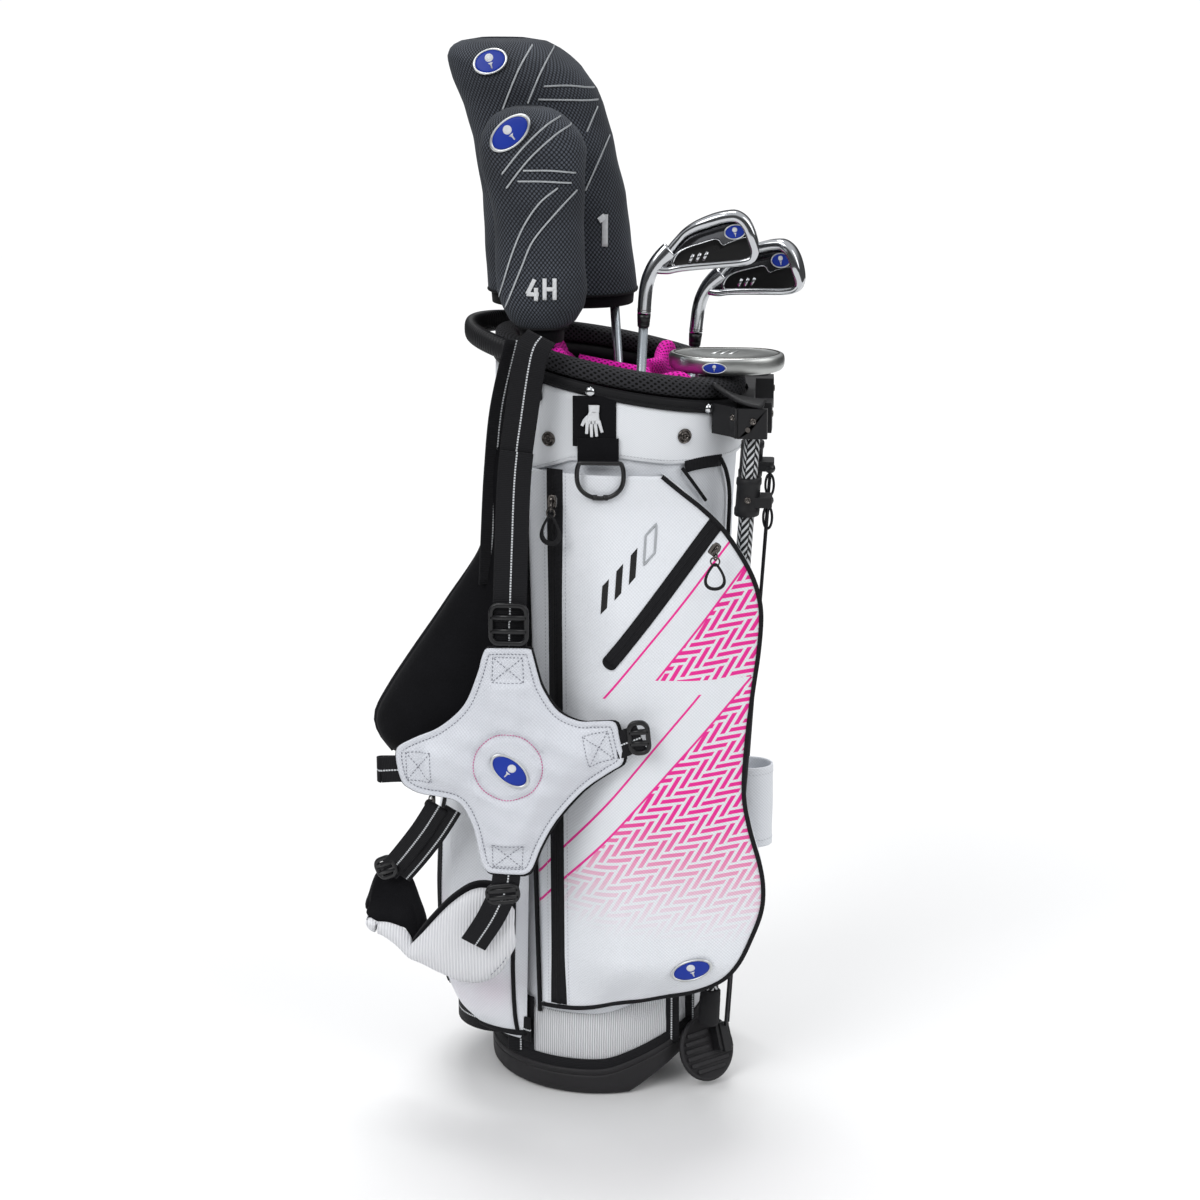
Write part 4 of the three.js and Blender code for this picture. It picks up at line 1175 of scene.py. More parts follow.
def make_ball_pocket():
    """The side pocket: a full printed face, its bindings and zip, and the strap round its foot."""
    low, high = math.radians(127), math.radians(233)
    turns = between(low, high, 64)
    heights = resample([(0, 0, 50), (0, 0, 335)], 60)

    def tint(look, place):
        z = look.axis(place, 2)
        glow = look.times(look.band(z, 60, 110), look.band(z, 225, 150))
        blush = look.times(glow, look.band(look.noise(place, 70.0, 1.0), 0.4, 0.75))
        return look.mix(look.times(blush, 0.35), look.base, linear((232, 196, 218)))
    cloth = honeycomb("side honeycomb polyester", WHITE, tint=tint)
    foot, head = ([tube_point(turn, z, 2) for turn in turns] for z in (50, 335))
    rows = [foot] + [[ball_point(turn, p.z) for turn in turns] for p in heights] + [head]
    surface("ball_pocket_face", "bag", rows, cloth, replaces=["ball_pocket"])
    edge = [ball_point(math.radians(229.5), z, 0.6) for z in between(56, 330, 50)]
    cord("ball_pocket_piping", "bag", edge, 2.2, looks["binding"], 8)
    hem = [ball_point(turn, 57, 0.4) for turn in turns]
    cord("ball_pocket_hem", "bag", hem, 3.2, looks["binding"], 8)
    top = [ball_point(turn, 331, 0.4) for turn in turns]
    cord("ball_pocket_top", "bag", top, 2.6, looks["binding"], 8)
    zip_turn = math.radians(196)
    line = [ball_point(zip_turn, lerp(92, 322, i / 50), 0.5) for i in range(51)]
    outward = [ball_normal(zip_turn, lerp(92, 322, i / 50)) for i in range(51)]
    zip_tape("ball_zip_tape", line, outward, 16)
    for k, shift in enumerate((-0.062, 0.062)):
        row = [ball_point(zip_turn + shift, lerp(94, 320, i / 50), 0.4) for i in range(51)]
        stitches(f"ball_zip_stitches_{k}", "bag", row, looks["thread"], 2.0, 1.6, 0.28)
    strap_turns = [math.radians(lerp(176, 236, i / 30)) for i in range(31)]
    block = [tube_point(turn, 62, 6 + 34 * math.sin(math.pi * min(1, (i + 3) / 24)) ** 0.6 if i < 22 else 8)
             for i, turn in enumerate(strap_turns)]
    points = spline(block, 40)
    ribbon("base_webbing", "bag", points, (0, 0, 1), 26, 2.2, looks["narrow"])


def make_side_trim():
    """Black webbing ends and tapes on the tube: above the boot, beside the pocket and on the strap side."""
    def upright(name, x, low, high, width, out=2.4):
        points = [near_point(x, z, out)[0] for z in between(low, high, 10)]
        ribbon(name, "bag", points, (1, 0, 0.02), width, 1.8, looks["narrow"])

    corner = [[tube_point(math.radians(turn), z, 2.6) for turn in range(176, 237, 3)]
              for z in between(30, 96, 12)]
    surface("base_corner", "bag", corner, looks["binding"])
    upright("base_tab_left", -72, 34, 92, 24, 4.0)
    upright("base_tab_mid", 73, 46, 124, 20)
    upright("base_tab_right", 90, 56, 130, 14)
    points = [near_point(lerp(85, 117, share), 641 + 1.5 * math.sin(share * math.pi), 3.0)[0]
              for share in between(0, 1, 8)]
    ribbon("side_loop_tape", "bag", points, (0, 0, 1), 12, 1.6, looks["narrow"])
    for name, places, steps, radius in (
            ("side_cord", ((116, 643), (121, 628), (124, 604), (123, 565), (122, 540)), 24, 2.0),
            ("side_cord_short", ((82, 640), (92, 624), (103, 605)), 16, 1.8)):
        path = spline([near_point(x, z, 4)[0] for x, z in places], steps)
        cord(name, "bag", path, radius, looks["binding"], 8)
    panel = [[tube_point(math.radians(turn), z, 0.7) for turn in range(196, 238, 3)]
             for z in between(342, 636, 20)]
    surface("side_panel", "bag", panel, looks["binding"])
    for k, turn in enumerate((150, 210)):
        seam = [tube_point(math.radians(turn - 60), z, 1.2) for z in between(84, 636, 40)]
        cord(f"back_seam_{k}", "bag", seam, 1.8, looks["binding"], 8)


def make_sleeve():
    """The open white loop that holds an umbrella's shaft."""
    def oval(rx, ry, z):
        return [(150 + rx * math.cos(t), -35 + ry * math.sin(t), z) for t in full_turn(48)]

    section = [(24, 19, 247), (24.2, 19.2, 249), (23.8, 18.8, 262), (24.3, 19.2, 290), (23.9, 18.9, 316),
               (24.2, 19.2, 328), (23.8, 18.8, 330), (22, 17, 330), (21.6, 16.6, 328), (21.5, 16.5, 290),
               (21.5, 16.5, 250), (22, 17, 247)]
    surface("umbrella_loop", "bag", [oval(*row) for row in section], looks["white"], around=True,
            along=True, replaces=["umbrella_sleeve"])
    for k, z in enumerate((254, 323)):
        row = oval(24.2, 19.2, z)
        stitches(f"umbrella_stitches_{k}", "bag", row + row[:1], looks["thread"], 1.8, 1.5, 0.28)


# ---------------------------------------------------------------- the stand

BRACKET_LOW = 671
LEG_Y = 76
LEG_RADIUS = 7.5
LEG_PIVOT = (150, 680)
LEG_FOOT = (116, 105)


def make_bracket():
    """The moulded leg bracket: the frame's block, shallower, with softened edges and its screws."""
    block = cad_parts["leg_bracket"]
    points = [block.matrix_world @ vertex.co / MM for vertex in block.data.vertices]
    points = [(p.x, p.y, max(p.z, BRACKET_LOW)) for p in points]
    bracket = build("bracket", "bag", points, [tuple(face.vertices) for face in block.data.polygons],
                    looks["plastic"], smooth=False, replaces=["leg_bracket"])
    bevel_edges(bracket, 0.9, 30)
    for i, (at, out) in enumerate((((150, -94.2, 688), (0, -1, 0)), ((131, -87.4, 690), (-0.53, -0.85, 0)),
                                   ((167.2, -58, 688), (1, -0.05, 0)), ((167.2, 58, 688), (1, 0.05, 0)))):
        stud(f"bracket_screw_{i}", at, out, SCREW, looks["nickel"])
    for i, side in enumerate((-1, 1)):
        rib = [(134, side * 94.3, BRACKET_LOW + 0.5), (134, side * 94.3, 699.5)]
        cord(f"bracket_rib_{i}", "bag", rib, 1.2, looks["plastic"], 8)
        path = spline([(112, side * 66, 717), (126, side * 71, 709), (142, side * 76, 704),
                       (160, side * 78, 701)], 14)
        sweep(f"bracket_shoulder_{i}", "bag", path, rounded(14, 5, 2.2), looks["plastic"],
              across=(0.3, side * 1.0, 0), scale=lambda t: (1 + 1.6 * ease(t, 0.1, 0.8), 1))


def leg_look():
    """Black tube with a pale zigzag printed on it."""
    column_width, pitch, rise, stripe_share, column_gap = 7.854, 7.6, 1.25, 0.44, 0.7
    lean = (LEG_PIVOT[0] - LEG_FOOT[0]) / (LEG_PIVOT[1] - LEG_FOOT[1])
    axis_at_floor = 109.8
    look = Look("printed leg tube", (21, 21, 23), 0.4, **{"Specular IOR Level": 0.3})
    place = look.place()
    z = look.axis(place, 2)
    x, y = look.axis(place, 0), look.axis(place, 1)
    slide = look.math("MULTIPLY_ADD", z, lean, axis_at_floor)
    angle = look.math("ARCTAN2", look.minus(look.math("ABSOLUTE", y), LEG_Y), look.minus(x, slide))
    turn = look.times(angle, LEG_RADIUS)
    column = look.math("FLOOR", look.math("DIVIDE", turn, column_width))
    inside = look.minus(turn, look.times(column, column_width))
    sign = look.math("MULTIPLY_ADD", look.math("FLOORED_MODULO", column, 2.0), 2.0, -1.0)
    slant = look.plus(z, look.times(look.times(inside, rise), sign))
    stripe = look.math("LESS_THAN", look.math("FRACT", look.math("DIVIDE", slant, pitch)), stripe_share)
    edge = look.math("GREATER_THAN", inside, column_gap)
    share = look.times(stripe, edge)
    look.color(look.mix(share, look.base, linear((196, 198, 200))))
    look.rough(look.noise(place, 8.0), 0.3, 0.45)
    return look


def make_leg(label, side, look):
    """A leg with its clamp, ball stud, shoe and pin, and the rod that pushes it out."""
    body = f"leg_{label}"
    y = side * LEG_Y
    pivot, foot = (Vector((x, y, z)) for x, z in (LEG_PIVOT, LEG_FOOT))
    down = (foot - pivot).normalized()

    def rings(profile):
        """Level rings round the leg, from (radius, distance below the pivot) pairs."""
        return [[pivot + down * distance + Vector((math.cos(t), math.sin(t), 0)) * radius
                 for t in full_turn(32)] for radius, distance in profile]
    tube = [(5.5, -9.8), (7.1, -9.8), *((LEG_RADIUS, distance) for distance in (-9.0, 40, 200, 400, 575.5)),
            (6.4, 576), (6.3, 560)]
    surface(f"{body}_tube", body, rings(tube), look, around=True, caps=True, replaces=[f"leg_tube_{label}"])
    collar = [(7.8, 50), (11.2, 50), (12, 51), (12.2, 56), (11.3, 58), (11.3, 78), (12.2, 80), (12, 86),
              (11.2, 87), (7.8, 87)]
    surface(f"{body}_clamp", body, rings(collar), looks["plastic"], around=True, along=True,
            replaces=[f"rod_clamp_{label}"])
    lug = Vector((158, y - side * 3, 607))
    slab(f"{body}_clamp_lug", body, rounded(22, 24, 3.5), (0, 0, 1), 10, looks["plastic"], at=lug,
         right=(1, 0, 0))
    rod_y = y - side * 11.5
    ball = [(0.3, -5.4), (2.6, -4.8), (4.4, -3.2), (5.4, 0), (4.4, 3.2), (2.6, 4.8), (0.3, 5.4)]
    turned(f"{body}_ball_stud", body, (165, rod_y, 605), (1, 0, 0), ball, looks["gloss"], 24)
    stud(f"{body}_clamp_screw", pivot + down * 70 + Vector((0, side * 11.6, 0)), (0, side, 0), SCREW,
         looks["nickel"], body=body)
    shoe = [(0.3, 0.4), (8.6, 0.4), (10, 1.6), (10.3, 8), (10.1, 9), (10.4, 10), (10.7, 24), (11, 34),
            (10.2, 37.6), (7, 38.4), (0.3, 38.4)]
    turned(f"{body}_shoe", body, foot, down, shoe, looks["rubber"], 32, replaces=[f"leg_foot_{label}"])
    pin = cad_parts[f"pivot_pin_{label}"]
    pin.data.materials.clear()
    pin.data.materials.append(looks["nickel"].material)
    low = (131, -66, 61) if side < 0 else (133, -57, 61)
    top = Vector((165, rod_y, 600))
    line = (Vector(low) - top).normalized()
    hook = spline([top + Vector((0, 0, 0)), top + line * 20, top + line * 300, Vector(low) - line * 60,
                   Vector(low)], 60)
    cord(f"push_rod_{label}_wire", f"rod_{label}", hook, 1.75, looks["wire"], 12,
         replaces=[f"push_rod_{label}"])
    loop = [top + line * 3 + Vector((4.2 * math.cos(t), 0, -9 + 11 * math.sin(t))) for t in full_turn(24)]
    cord(f"push_rod_{label}_eye", f"rod_{label}", loop, 1.3, looks["wire"], 8, closed=True)


def make_foot_plate():
    """A slotted disc with a carrier block, the ends of both rods' sockets and its rim."""
    centre = Vector((112, -67, 36))
    normal = Vector((0.62, -0.705, 0.342)).normalized()
    along = Vector((0.75, 0.66, 0)).normalized()
    up = normal.cross(along)

    def at(u, v, w=0.0):
        return centre + along * u + up * v + normal * w
    disc = [(0.3, -2.5), (31.5, -2.5), (33, -1.4), (33.2, 1.2), (32.2, 2.5), (30, 2.6), (29.4, 1.6),
            (0.3, 1.6)]
    turned("foot_plate_disc", "foot_plate", centre, normal, disc, looks["boot"], 48,
           replaces=["foot_plate"])
    for k, v in enumerate((-21, -13.5, -6, 1.5, 9, 16.5)):
        low = -math.sqrt(27.5 ** 2 - v ** 2)
        high = -low if v < 0 else 4
        slab(f"foot_plate_bar_{k}0", "foot_plate", rounded(high - low, 4.2, 1.6), normal, 2.4,
             looks["boot"], at=at((low + high) / 2, v, 2.0), right=along)
    slab("foot_plate_carrier", "foot_plate", rounded(17, 25, 2.5), normal, 12, looks["plastic"],
         at=at(15, 8, 8), right=along)
    slab("foot_plate_socket", "foot_plate", rounded(9, 30, 2.0), normal, 6, looks["plastic"],
         at=at(15, 8, 13.4), right=along)
    for k, v in enumerate((-3, 19)):
        stud(f"foot_plate_pin_{k}", at(24, v, 9), along, SCREW, looks["nickel"], body="foot_plate")


# ---------------------------------------------------------------- carrying straps

# The cross pad's middle, and its outline about it as (right, up) points.
PAD_X, PAD_Y, PAD_Z = -76, -156, 365
PAD_OUTLINE = (
    (28, 90), (24, 106), (22.5, 111), (18, 115), (-18, 114.5), (-22, 112), (-25, 104), (-29, 89),
    (-42, 58), (-65, 36), (-88, 25), (-103, 17), (-107, 12), (-107.5, 2), (-105, -12), (-102, -20),
    (-97, -25), (-84, -31), (-50, -38), (-36, -60), (-30, -84), (-27, -99), (-23, -107), (-17, -110.5),
    (10, -111.5), (17, -109.5), (22, -104), (31, -81), (46, -54), (71, -24), (96, -5), (104, 0), (108, 4),
    (109, 12), (105, 30), (102.5, 41), (98, 45), (82, 44.5), (66, 44.5), (47, 54), (33, 75))


def pad_outline(count):
    """The cross pad's border: four arms with flat ends, joined by hollow curves."""
    return spline([(u, v, 0) for u, v in PAD_OUTLINE], count, closed=True)


def make_back_pad():
    """The cross pad: a crowned white face with sewn edges, a stitched circle, and a black back."""
    count = 200
    edge = pad_outline(count)
    border = np.array([p[:2] for p in edge])
    angles = [math.radians(a) for a in (13, 90, 182, 269)]

    def height(u, v):
        gap = float(np.min(np.hypot(border[:, 0] - u, border[:, 1] - v)))
        centre = math.hypot(u, v)
        end = max(u * math.cos(a) + v * math.sin(a) for a in angles)
        crown = 11.0 * ease(gap, 3, 30) ** 0.7
        flat = 1 - 0.8 * ease(end, 78, 86)
        ripple = 0.9 * math.sin(u / 6 + v / 9) * math.sin(v / 7 - u / 13) * ease(gap, 6, 16)
        sewn = -1.3 * math.exp(-((gap - 5.5) / 1.5) ** 2) - 3.2 * math.exp(-((centre - 33) / 3.2) ** 2)
        pull = 1.1 * math.cos(8 * math.atan2(v, u)) * math.exp(-((centre - 42) / 9) ** 2)
        return 1.8 + (crown + ripple + pull) * flat + sewn * ease(gap, 0.5, 4)

    def face(u, v, out=0.0):
        return Vector((PAD_X + u, PAD_Y - height(u, v) - out, PAD_Z + v))
    rows = []
    for step in range(41):
        share = 1 - (step / 40) * 0.995
        rows.append([face(p.x * share, p.y * share) for p in edge])
    lip = [[Vector((PAD_X + p.x * scale, PAD_Y + depth, PAD_Z + p.y * scale)) for p in edge]
           for scale, depth in ((0.97, 2), (1.0, 1.6), (1.004, 0))]
    flat = [(p[0] - PAD_X, p[2] - PAD_Z) for row in lip + rows for p in row]
    pad = surface("cross_pad_face", "bag", lip + rows, looks["pad"], around=True, caps=True,
                  replaces=["back_pad"])
    layer = pad.data.uv_layers["cloth"]
    for loop in pad.data.loops:
        layer.data[loop.index].uv = flat[loop.vertex_index]
    back = []
    for scale, depth in ((0.6, 7), (0.9, 7), (1.0, 6.4), (1.022, 4.5), (1.022, 2.2), (1.0, 1.4),
                         (0.9, 1.4)):
        back.append([Vector((PAD_X + p.x * scale + 1.0, PAD_Y + depth,
                             PAD_Z + p.y * scale - 1.0)) for p in edge])
    surface("cross_pad_back", "bag", back, looks["binding"], around=True, caps=True)
    border_line = [face(p.x - n.x * 5.2, p.y - n.y * 5.2, 0.5) for p, n in zip(edge, inward(edge))]
    stitches("cross_pad_stitches", "bag", border_line + border_line[:1], looks["dark thread"], 2.1, 1.5,
             0.38)
    circle_line = [face(33 * math.cos(t), 33 * math.sin(t), 0.5)
                   for t in (2 * math.pi * i / 120 for i in range(121))]
    stitches("cross_pad_circle", "bag", circle_line, looks["pink thread"], 2.0, 0.8, 0.42)
    for k, angle in enumerate(angles):
        c, s = math.cos(angle), math.sin(angle)

        def spot(u, v):
            return face(u * c - v * s, u * s + v * c, 0.45)
        reach = (107, 114, 105, 111)[k] - 7
        corners = [(reach - 24, -15), (reach, -14), (reach, 14), (reach - 24, 15), (reach - 24, -15)]
        for kind, ends in (("box", zip(corners, corners[1:])), ("cross", zip(corners[:2], corners[2:4]))):
            for j, (a, b) in enumerate(ends):
                line = [spot(lerp(a[0], b[0], i / 8), lerp(a[1], b[1], i / 8)) for i in range(9)]
                stitches(f"pad_{kind}_{k}{j}", "bag", line, looks["dark thread"], 2.0, 1.5, 0.34)
    tilt = math.radians(-40)
    badge("pad_badge", "bag", (PAD_X + 2, PAD_Y - 13.2, PAD_Z - 2), (0, -1, 0),
          (math.cos(tilt), 0, math.sin(tilt)), 44, 25)


def inward(edge):
    """For each point of a closed outline, the direction away from its inside's edge."""
    count = len(edge)
    result = []
    for i in range(count):
        tangent = (edge[(i + 1) % count] - edge[i - 1]).normalized()
        result.append(Vector((tangent.y, -tangent.x, 0)))
    return result


def ladder_lock(name, at, right, wide, tall):
    """A plastic strap buckle: a rounded frame with two bars across it."""
    at, right = Vector(at), Vector(right).normalized()
    normal = Vector((right.y, -right.x, 0)).normalized()
    normal = normal if normal.y < 0 else -normal
    up = normal.cross(right) if normal.cross(right).z > 0 else right.cross(normal)
    section = rounded(4.6, 5.0, 1.6, 3)
    path = [at + right * u + up * v for u, v in rounded(wide - 4.6, tall - 5, 7, 5)]
    frame_rows = [[point + a * v + b * u for u, v in section] for point, a, b in frames(path, True, normal)]
    piece = surface(name + "_frame", "bag", frame_rows, looks["gloss"], around=True, along=True)
    for k, v in enumerate((-tall * 0.16, tall * 0.16)):
        bar_path = [at + right * (-wide / 2 + 2) + up * v, at + up * v,
                    at + right * (wide / 2 - 2) + up * v]
        sweep(f"{name}_bar_{k}", "bag", bar_path, rounded(5.4, 5.0, 1.8, 3), looks["gloss"], across=up)
    return piece


def padded_strip(name, rows, thickness, look):
    """A pillow between rows of points: thickest inside, thin at its border."""
    count, size = len(rows), len(rows[0])
    grid = [[Vector(p) for p in row] for row in rows]
    front, back = [], []
    for r in range(count):
        front_row, back_row = [], []
        for c in range(size):
            a = grid[min(r + 1, count - 1)][c] - grid[max(r - 1, 0)][c]
            b = grid[r][min(c + 1, size - 1)] - grid[r][max(c - 1, 0)]
            normal = a.cross(b).normalized()
            normal = normal if normal.y < 0 else -normal
            inset = min(c, size - 1 - c) / (size - 1) * 2
            ends = min(r, count - 1 - r) / (count - 1) * 2
            puff = thickness / 2 * math.sqrt(max(0.0, 1 - (1 - min(1, inset * 2.4)) ** 2)) * \
                math.sqrt(max(0.0, 1 - (1 - min(1, ends * 5)) ** 2)) + 0.8
            front_row.append(grid[r][c] + normal * puff)
            back_row.append(grid[r][c] - normal * puff)
        front.append(front_row)
        back.append(back_row)
    joined = [f + b[::-1] for f, b in zip(front, back)]
    piece = surface(name, "bag", joined, look, around=True, caps=True)
    return piece


def make_straps():
    """The webbing from the handle, through its ladder lock, to the cross pad, and the loose ends."""
    path = spline([(-47, -106, 768), (-56, -117, 752), (-66, -119, 690), (-72, -124, 640), (-74, -137, 575),
                   (-75, -149, 520), (-75, -152.5, 486), (-75, -150.5, 470)], 60)
    ribbon("strap_webbing", "bag", path, (1, 0.1, 0), 31, 2.2, looks["webbing"], replaces=["upper_webbing"])
    over = [p + Vector((1.0, -2.6, 0)) for p in path[22:54]]
    ribbon("strap_webbing_doubled", "bag", over, (1, 0.1, 0), 31, 2.0, looks["webbing"])
    second = spline([(-72, -92, 762), (-86, -96, 700), (-92, -100, 640), (-95, -106, 580),
                     (-97, -110, 530)], 40)
    ribbon("strap_webbing_far", "bag", second, (0.8, 0.6, 0), 25, 2.2, looks["narrow"])
    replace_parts(ladder_lock("strap_lock", (-75, -156.5, 504), (1, 0, 0), 38, 42), "upper_buckle")
    path = spline([(24, -155, 384), (36, -157, 390), (50, -157, 396)], 12)
    ribbon("side_webbing", "bag", path, (0.1, 0, 1), 26, 2.2, looks["narrow"])
    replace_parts(ladder_lock("side_lock", (48, -157.5, 395), (0.99, 0, 0.1), 22, 35), "side_buckle")
    path = spline([(-174, -154, 357), (-186, -155, 357), (-199, -155, 356)], 12)
    ribbon("stub_webbing", "bag", path, (0, 0, 1), 26, 2.6, looks["narrow"], replaces=["stub_buckle"])
    path = spline([(-199, -155.5, 356), (-202, -153, 356), (-199, -150.5, 356), (-180, -149, 356)], 12)
    ribbon("stub_webbing_fold", "bag", path, (0, 0, 1), 26, 2.6, looks["narrow"])
    path = spline([(-79, -153, 262), (-80, -155, 246), (-84, -157, 232), (-95, -159, 208),
                   (-112, -157, 180)], 40)
    ribbon("tail_webbing", "bag", path, (1, 0.05, 0.25), 27, 2.2, looks["webbing"],
           replaces=["lower_webbing"])
    ladder_lock("tail_lock", (-83, -157, 233), (1, 0, 0.12), 34, 22)
    for k, (dx, dz) in enumerate(((0, 0), (15, -4))):
        path = spline([(-148 + dx, -130, 312 + dz), (-165 + dx, -118, 282 + dz),
                       (-184 + dx, -108, 254 + dz), (-203 + dx, -96, 228 + dz)], 30)
        ribbon(f"pad_webbing_{k}", "bag", path, (1, -0.3, 0.3), 17 if k else 22, 2.2, looks["narrow"])
    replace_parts(bpy.data.objects["pad_webbing_0"], "pad_webbing")
    ladder_lock("pad_lock", (-204, -98, 234), (0.9, -0.4, 0.5), 26, 24)


def make_shoulder_pads():
    """The upper pad hangs behind the cross pad, plush side out; the lower pad is folded in a sling."""
    left = spline([(-96, -86, 668), (-100, -87, 620), (-103, -88, 568), (-140, -94, 508),
                   (-174, -100, 458), (-196, -104, 424), (-209, -106, 398), (-206, -110, 380),
                   (-192, -115, 363)], 40)
    right = spline([(-84, -92, 668), (-84, -96, 620), (-80, -104, 568), (-78, -112, 508),
                    (-82, -122, 458), (-96, -130, 424), (-118, -134, 398), (-140, -134, 376),
                    (-160, -130, 362)], 40)
    rows = [[a.lerp(b, i / 16) + Vector((0, -5 * math.sin(math.pi * i / 16), 0)) for i in range(17)]
            for a, b in zip(left, right)]
    pad = padded_strip("upper_pad", rows, 13, looks["plush"])
    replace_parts(pad, "upper_shoulder_pad")
    cord("upper_pad_binding", "bag", left, 2.4, looks["binding"], 8)
    top = spline([(-225, -90, 179), (-219, -94, 172), (-201, -100, 174.5), (-186, -108, 173),
                  (-180, -112, 161), (-175, -116, 161), (-163, -120, 178), (-146, -126, 200),
                  (-132, -130, 215), (-116, -133, 227), (-102, -135, 230), (-86, -136, 226),
                  (-74, -137, 208)], 60)
    low = spline([(-225, -90, 177), (-220, -94, 175), (-205, -100, 167), (-190, -108, 157.5),
                  (-182, -112, 152.5), (-175, -116, 149), (-165, -120, 144.5), (-150, -126, 137.5),
                  (-138, -130, 133), (-126, -133, 130), (-106, -135, 131), (-87, -136, 144),
                  (-72, -137, 176)], 60)
    rows = [[a.lerp(b, share) + Vector((0, -8 * math.sin(math.pi * share), 0)) for a, b in zip(top, low)]
            for share in between(0, 1, 14)]
    pad = padded_strip("lower_pad_face", [list(row) for row in zip(*rows)], 9, looks["ribbed pad"])
    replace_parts(pad, "lower_shoulder_pad")
    inner = spline([(-177, -113, 159), (-163, -117, 180), (-146, -123, 202), (-132, -127, 217),
                    (-116, -130, 229), (-102, -132, 232.5), (-88, -134, 230)], 50)
    sweep("lower_pad_binding", "bag", inner, rounded(9, 7, 3), looks["plush"], across=(0, 1, 0.2))
    lining_top = spline([(-225, -84, 182), (-225, -83, 197), (-218, -81, 219), (-209, -79, 228),
                         (-199, -80, 229), (-182, -84, 220), (-174, -92, 203), (-166, -104, 181),
                         (-174, -110, 164)], 40)
    lining_low = spline([(-224, -91, 174), (-222, -92, 172), (-218, -94, 171), (-209, -98, 173),
                         (-200, -101, 174.5), (-191, -105, 175), (-184, -108, 173), (-180, -111, 163),
                         (-177, -113, 158)], 40)
    rows = [[a.lerp(b, i / 12) + Vector((0, 5 * math.sin(math.pi * i / 12), 0)) for i in range(13)]
            for a, b in zip(lining_top, lining_low)]
    padded_strip("lower_pad_lining", rows, 9, looks["plush"])
    line = spline([(-79, -142.5, 218), (-76, -143.5, 198), (-77, -144, 178), (-84, -144, 157),
                   (-98, -143.5, 141)], 30)
    stitches("lower_pad_stitches", "bag", line, looks["dark thread"], 2.4, 1.8, 0.36)


# ---------------------------------------------------------------- clubs

def club_frame(butt, neck):
    """A function that turns a club's own (x, y, z) into the bag's, and the club's length."""
    butt, neck = Vector(butt), Vector(neck)
    along = (neck - butt).normalized()
    turn = Vector((0, 0, 1)).rotation_difference(along)

    def place(x, y, z, yaw=0.0):
        c, s = math.cos(yaw), math.sin(yaw)
        return butt + turn @ Vector((x * c - y * s, x * s + y * c, z))
    return place, (neck - butt).length


def club_turned(name, body, place, profile, look, **options):
    """A lathe body on a club's own axis, from (radius, distance from the butt) pairs."""
    rows = [[place(r * math.cos(t), r * math.sin(t), z) for t in full_turn(28)] for r, z in profile]
    return surface(name, body, rows, look, around=True, caps=True, **options)


def grip_look():
    """Black rubber with rows of small dimples."""
    look = Look("ribbed rubber grip", (22, 22, 24), 0.85, **{"Specular IOR Level": 0.25})
    place = look.place()
    dots = look.cells(look.cloth(), 2.2, 2.2)
    look.bump(look.band(dots, 0.2, 0.4), -0.35)
    look.color(look.mix(look.noise(place, 12.0), look.base, linear((40, 40, 43))))
    return look


def shaft_look():
    """Satin silver shaft, with the slight streaks of a polished lay."""
    look = Look("satin silver shaft", (176, 182, 187), 0.28, 0.85)
    place = look.place()
    look.rough(look.noise(look.node("Mapping", Vector=place, Scale=(1.0, 1.0, 0.04)), 1.5), 0.2, 0.34)
    look.color(look.mix(look.noise(place, 40.0), look.base, linear((160, 168, 174))))
    return look


def make_shaft(name, place, length, looks_here):
    """A club's grip and shaft."""
    grip = [(0.3, 0), (9, 0), (11.4, 1.2), (12.5, 4.5), (12.2, 12), (12, 30), (11, 90), (9.6, 160),
            (8.4, 232), (7.6, 237.5), (6.4, 239.6), (0.3, 239.8)]
    club_turned(f"{name}_grip_rubber", name, place, grip, looks_here["grip"], replaces=[f"{name}_grip"])
    profile = [(0.3, 240.3), (4.6, 240.3), (4.6, length * 0.6), (4.6, length - 0.2), (0.3, length)]
    club_turned(f"{name}_shaft_tube", name, place, profile, looks_here["shaft"], replaces=[f"{name}_shaft"])


# Outlines of an iron's head, from its topline round the toe, as (along, up) points.
BLADE = ((7, 40), (9, 48), (14, 57), (22, 69), (32, 81), (42, 89), (53, 95), (64, 99.5), (74, 102),
         (82, 102.5), (90, 99), (96, 93), (100.5, 85), (104, 75), (105.2, 66), (103, 58), (98, 53.5),
         (91, 51), (84, 49.6), (72, 48), (58, 46), (44, 44), (30, 41.5), (20, 39))
CAVITY = ((26, 50), (30, 59.5), (39, 65.5), (52, 70.5), (63, 74.5), (67, 73.5), (70.5, 69.5), (76, 72),
          (84, 75.5), (92, 78), (97, 76), (98.6, 68), (97, 58.5), (93, 53.5), (80, 51), (60, 48.5),
          (42, 46.5), (31, 46))


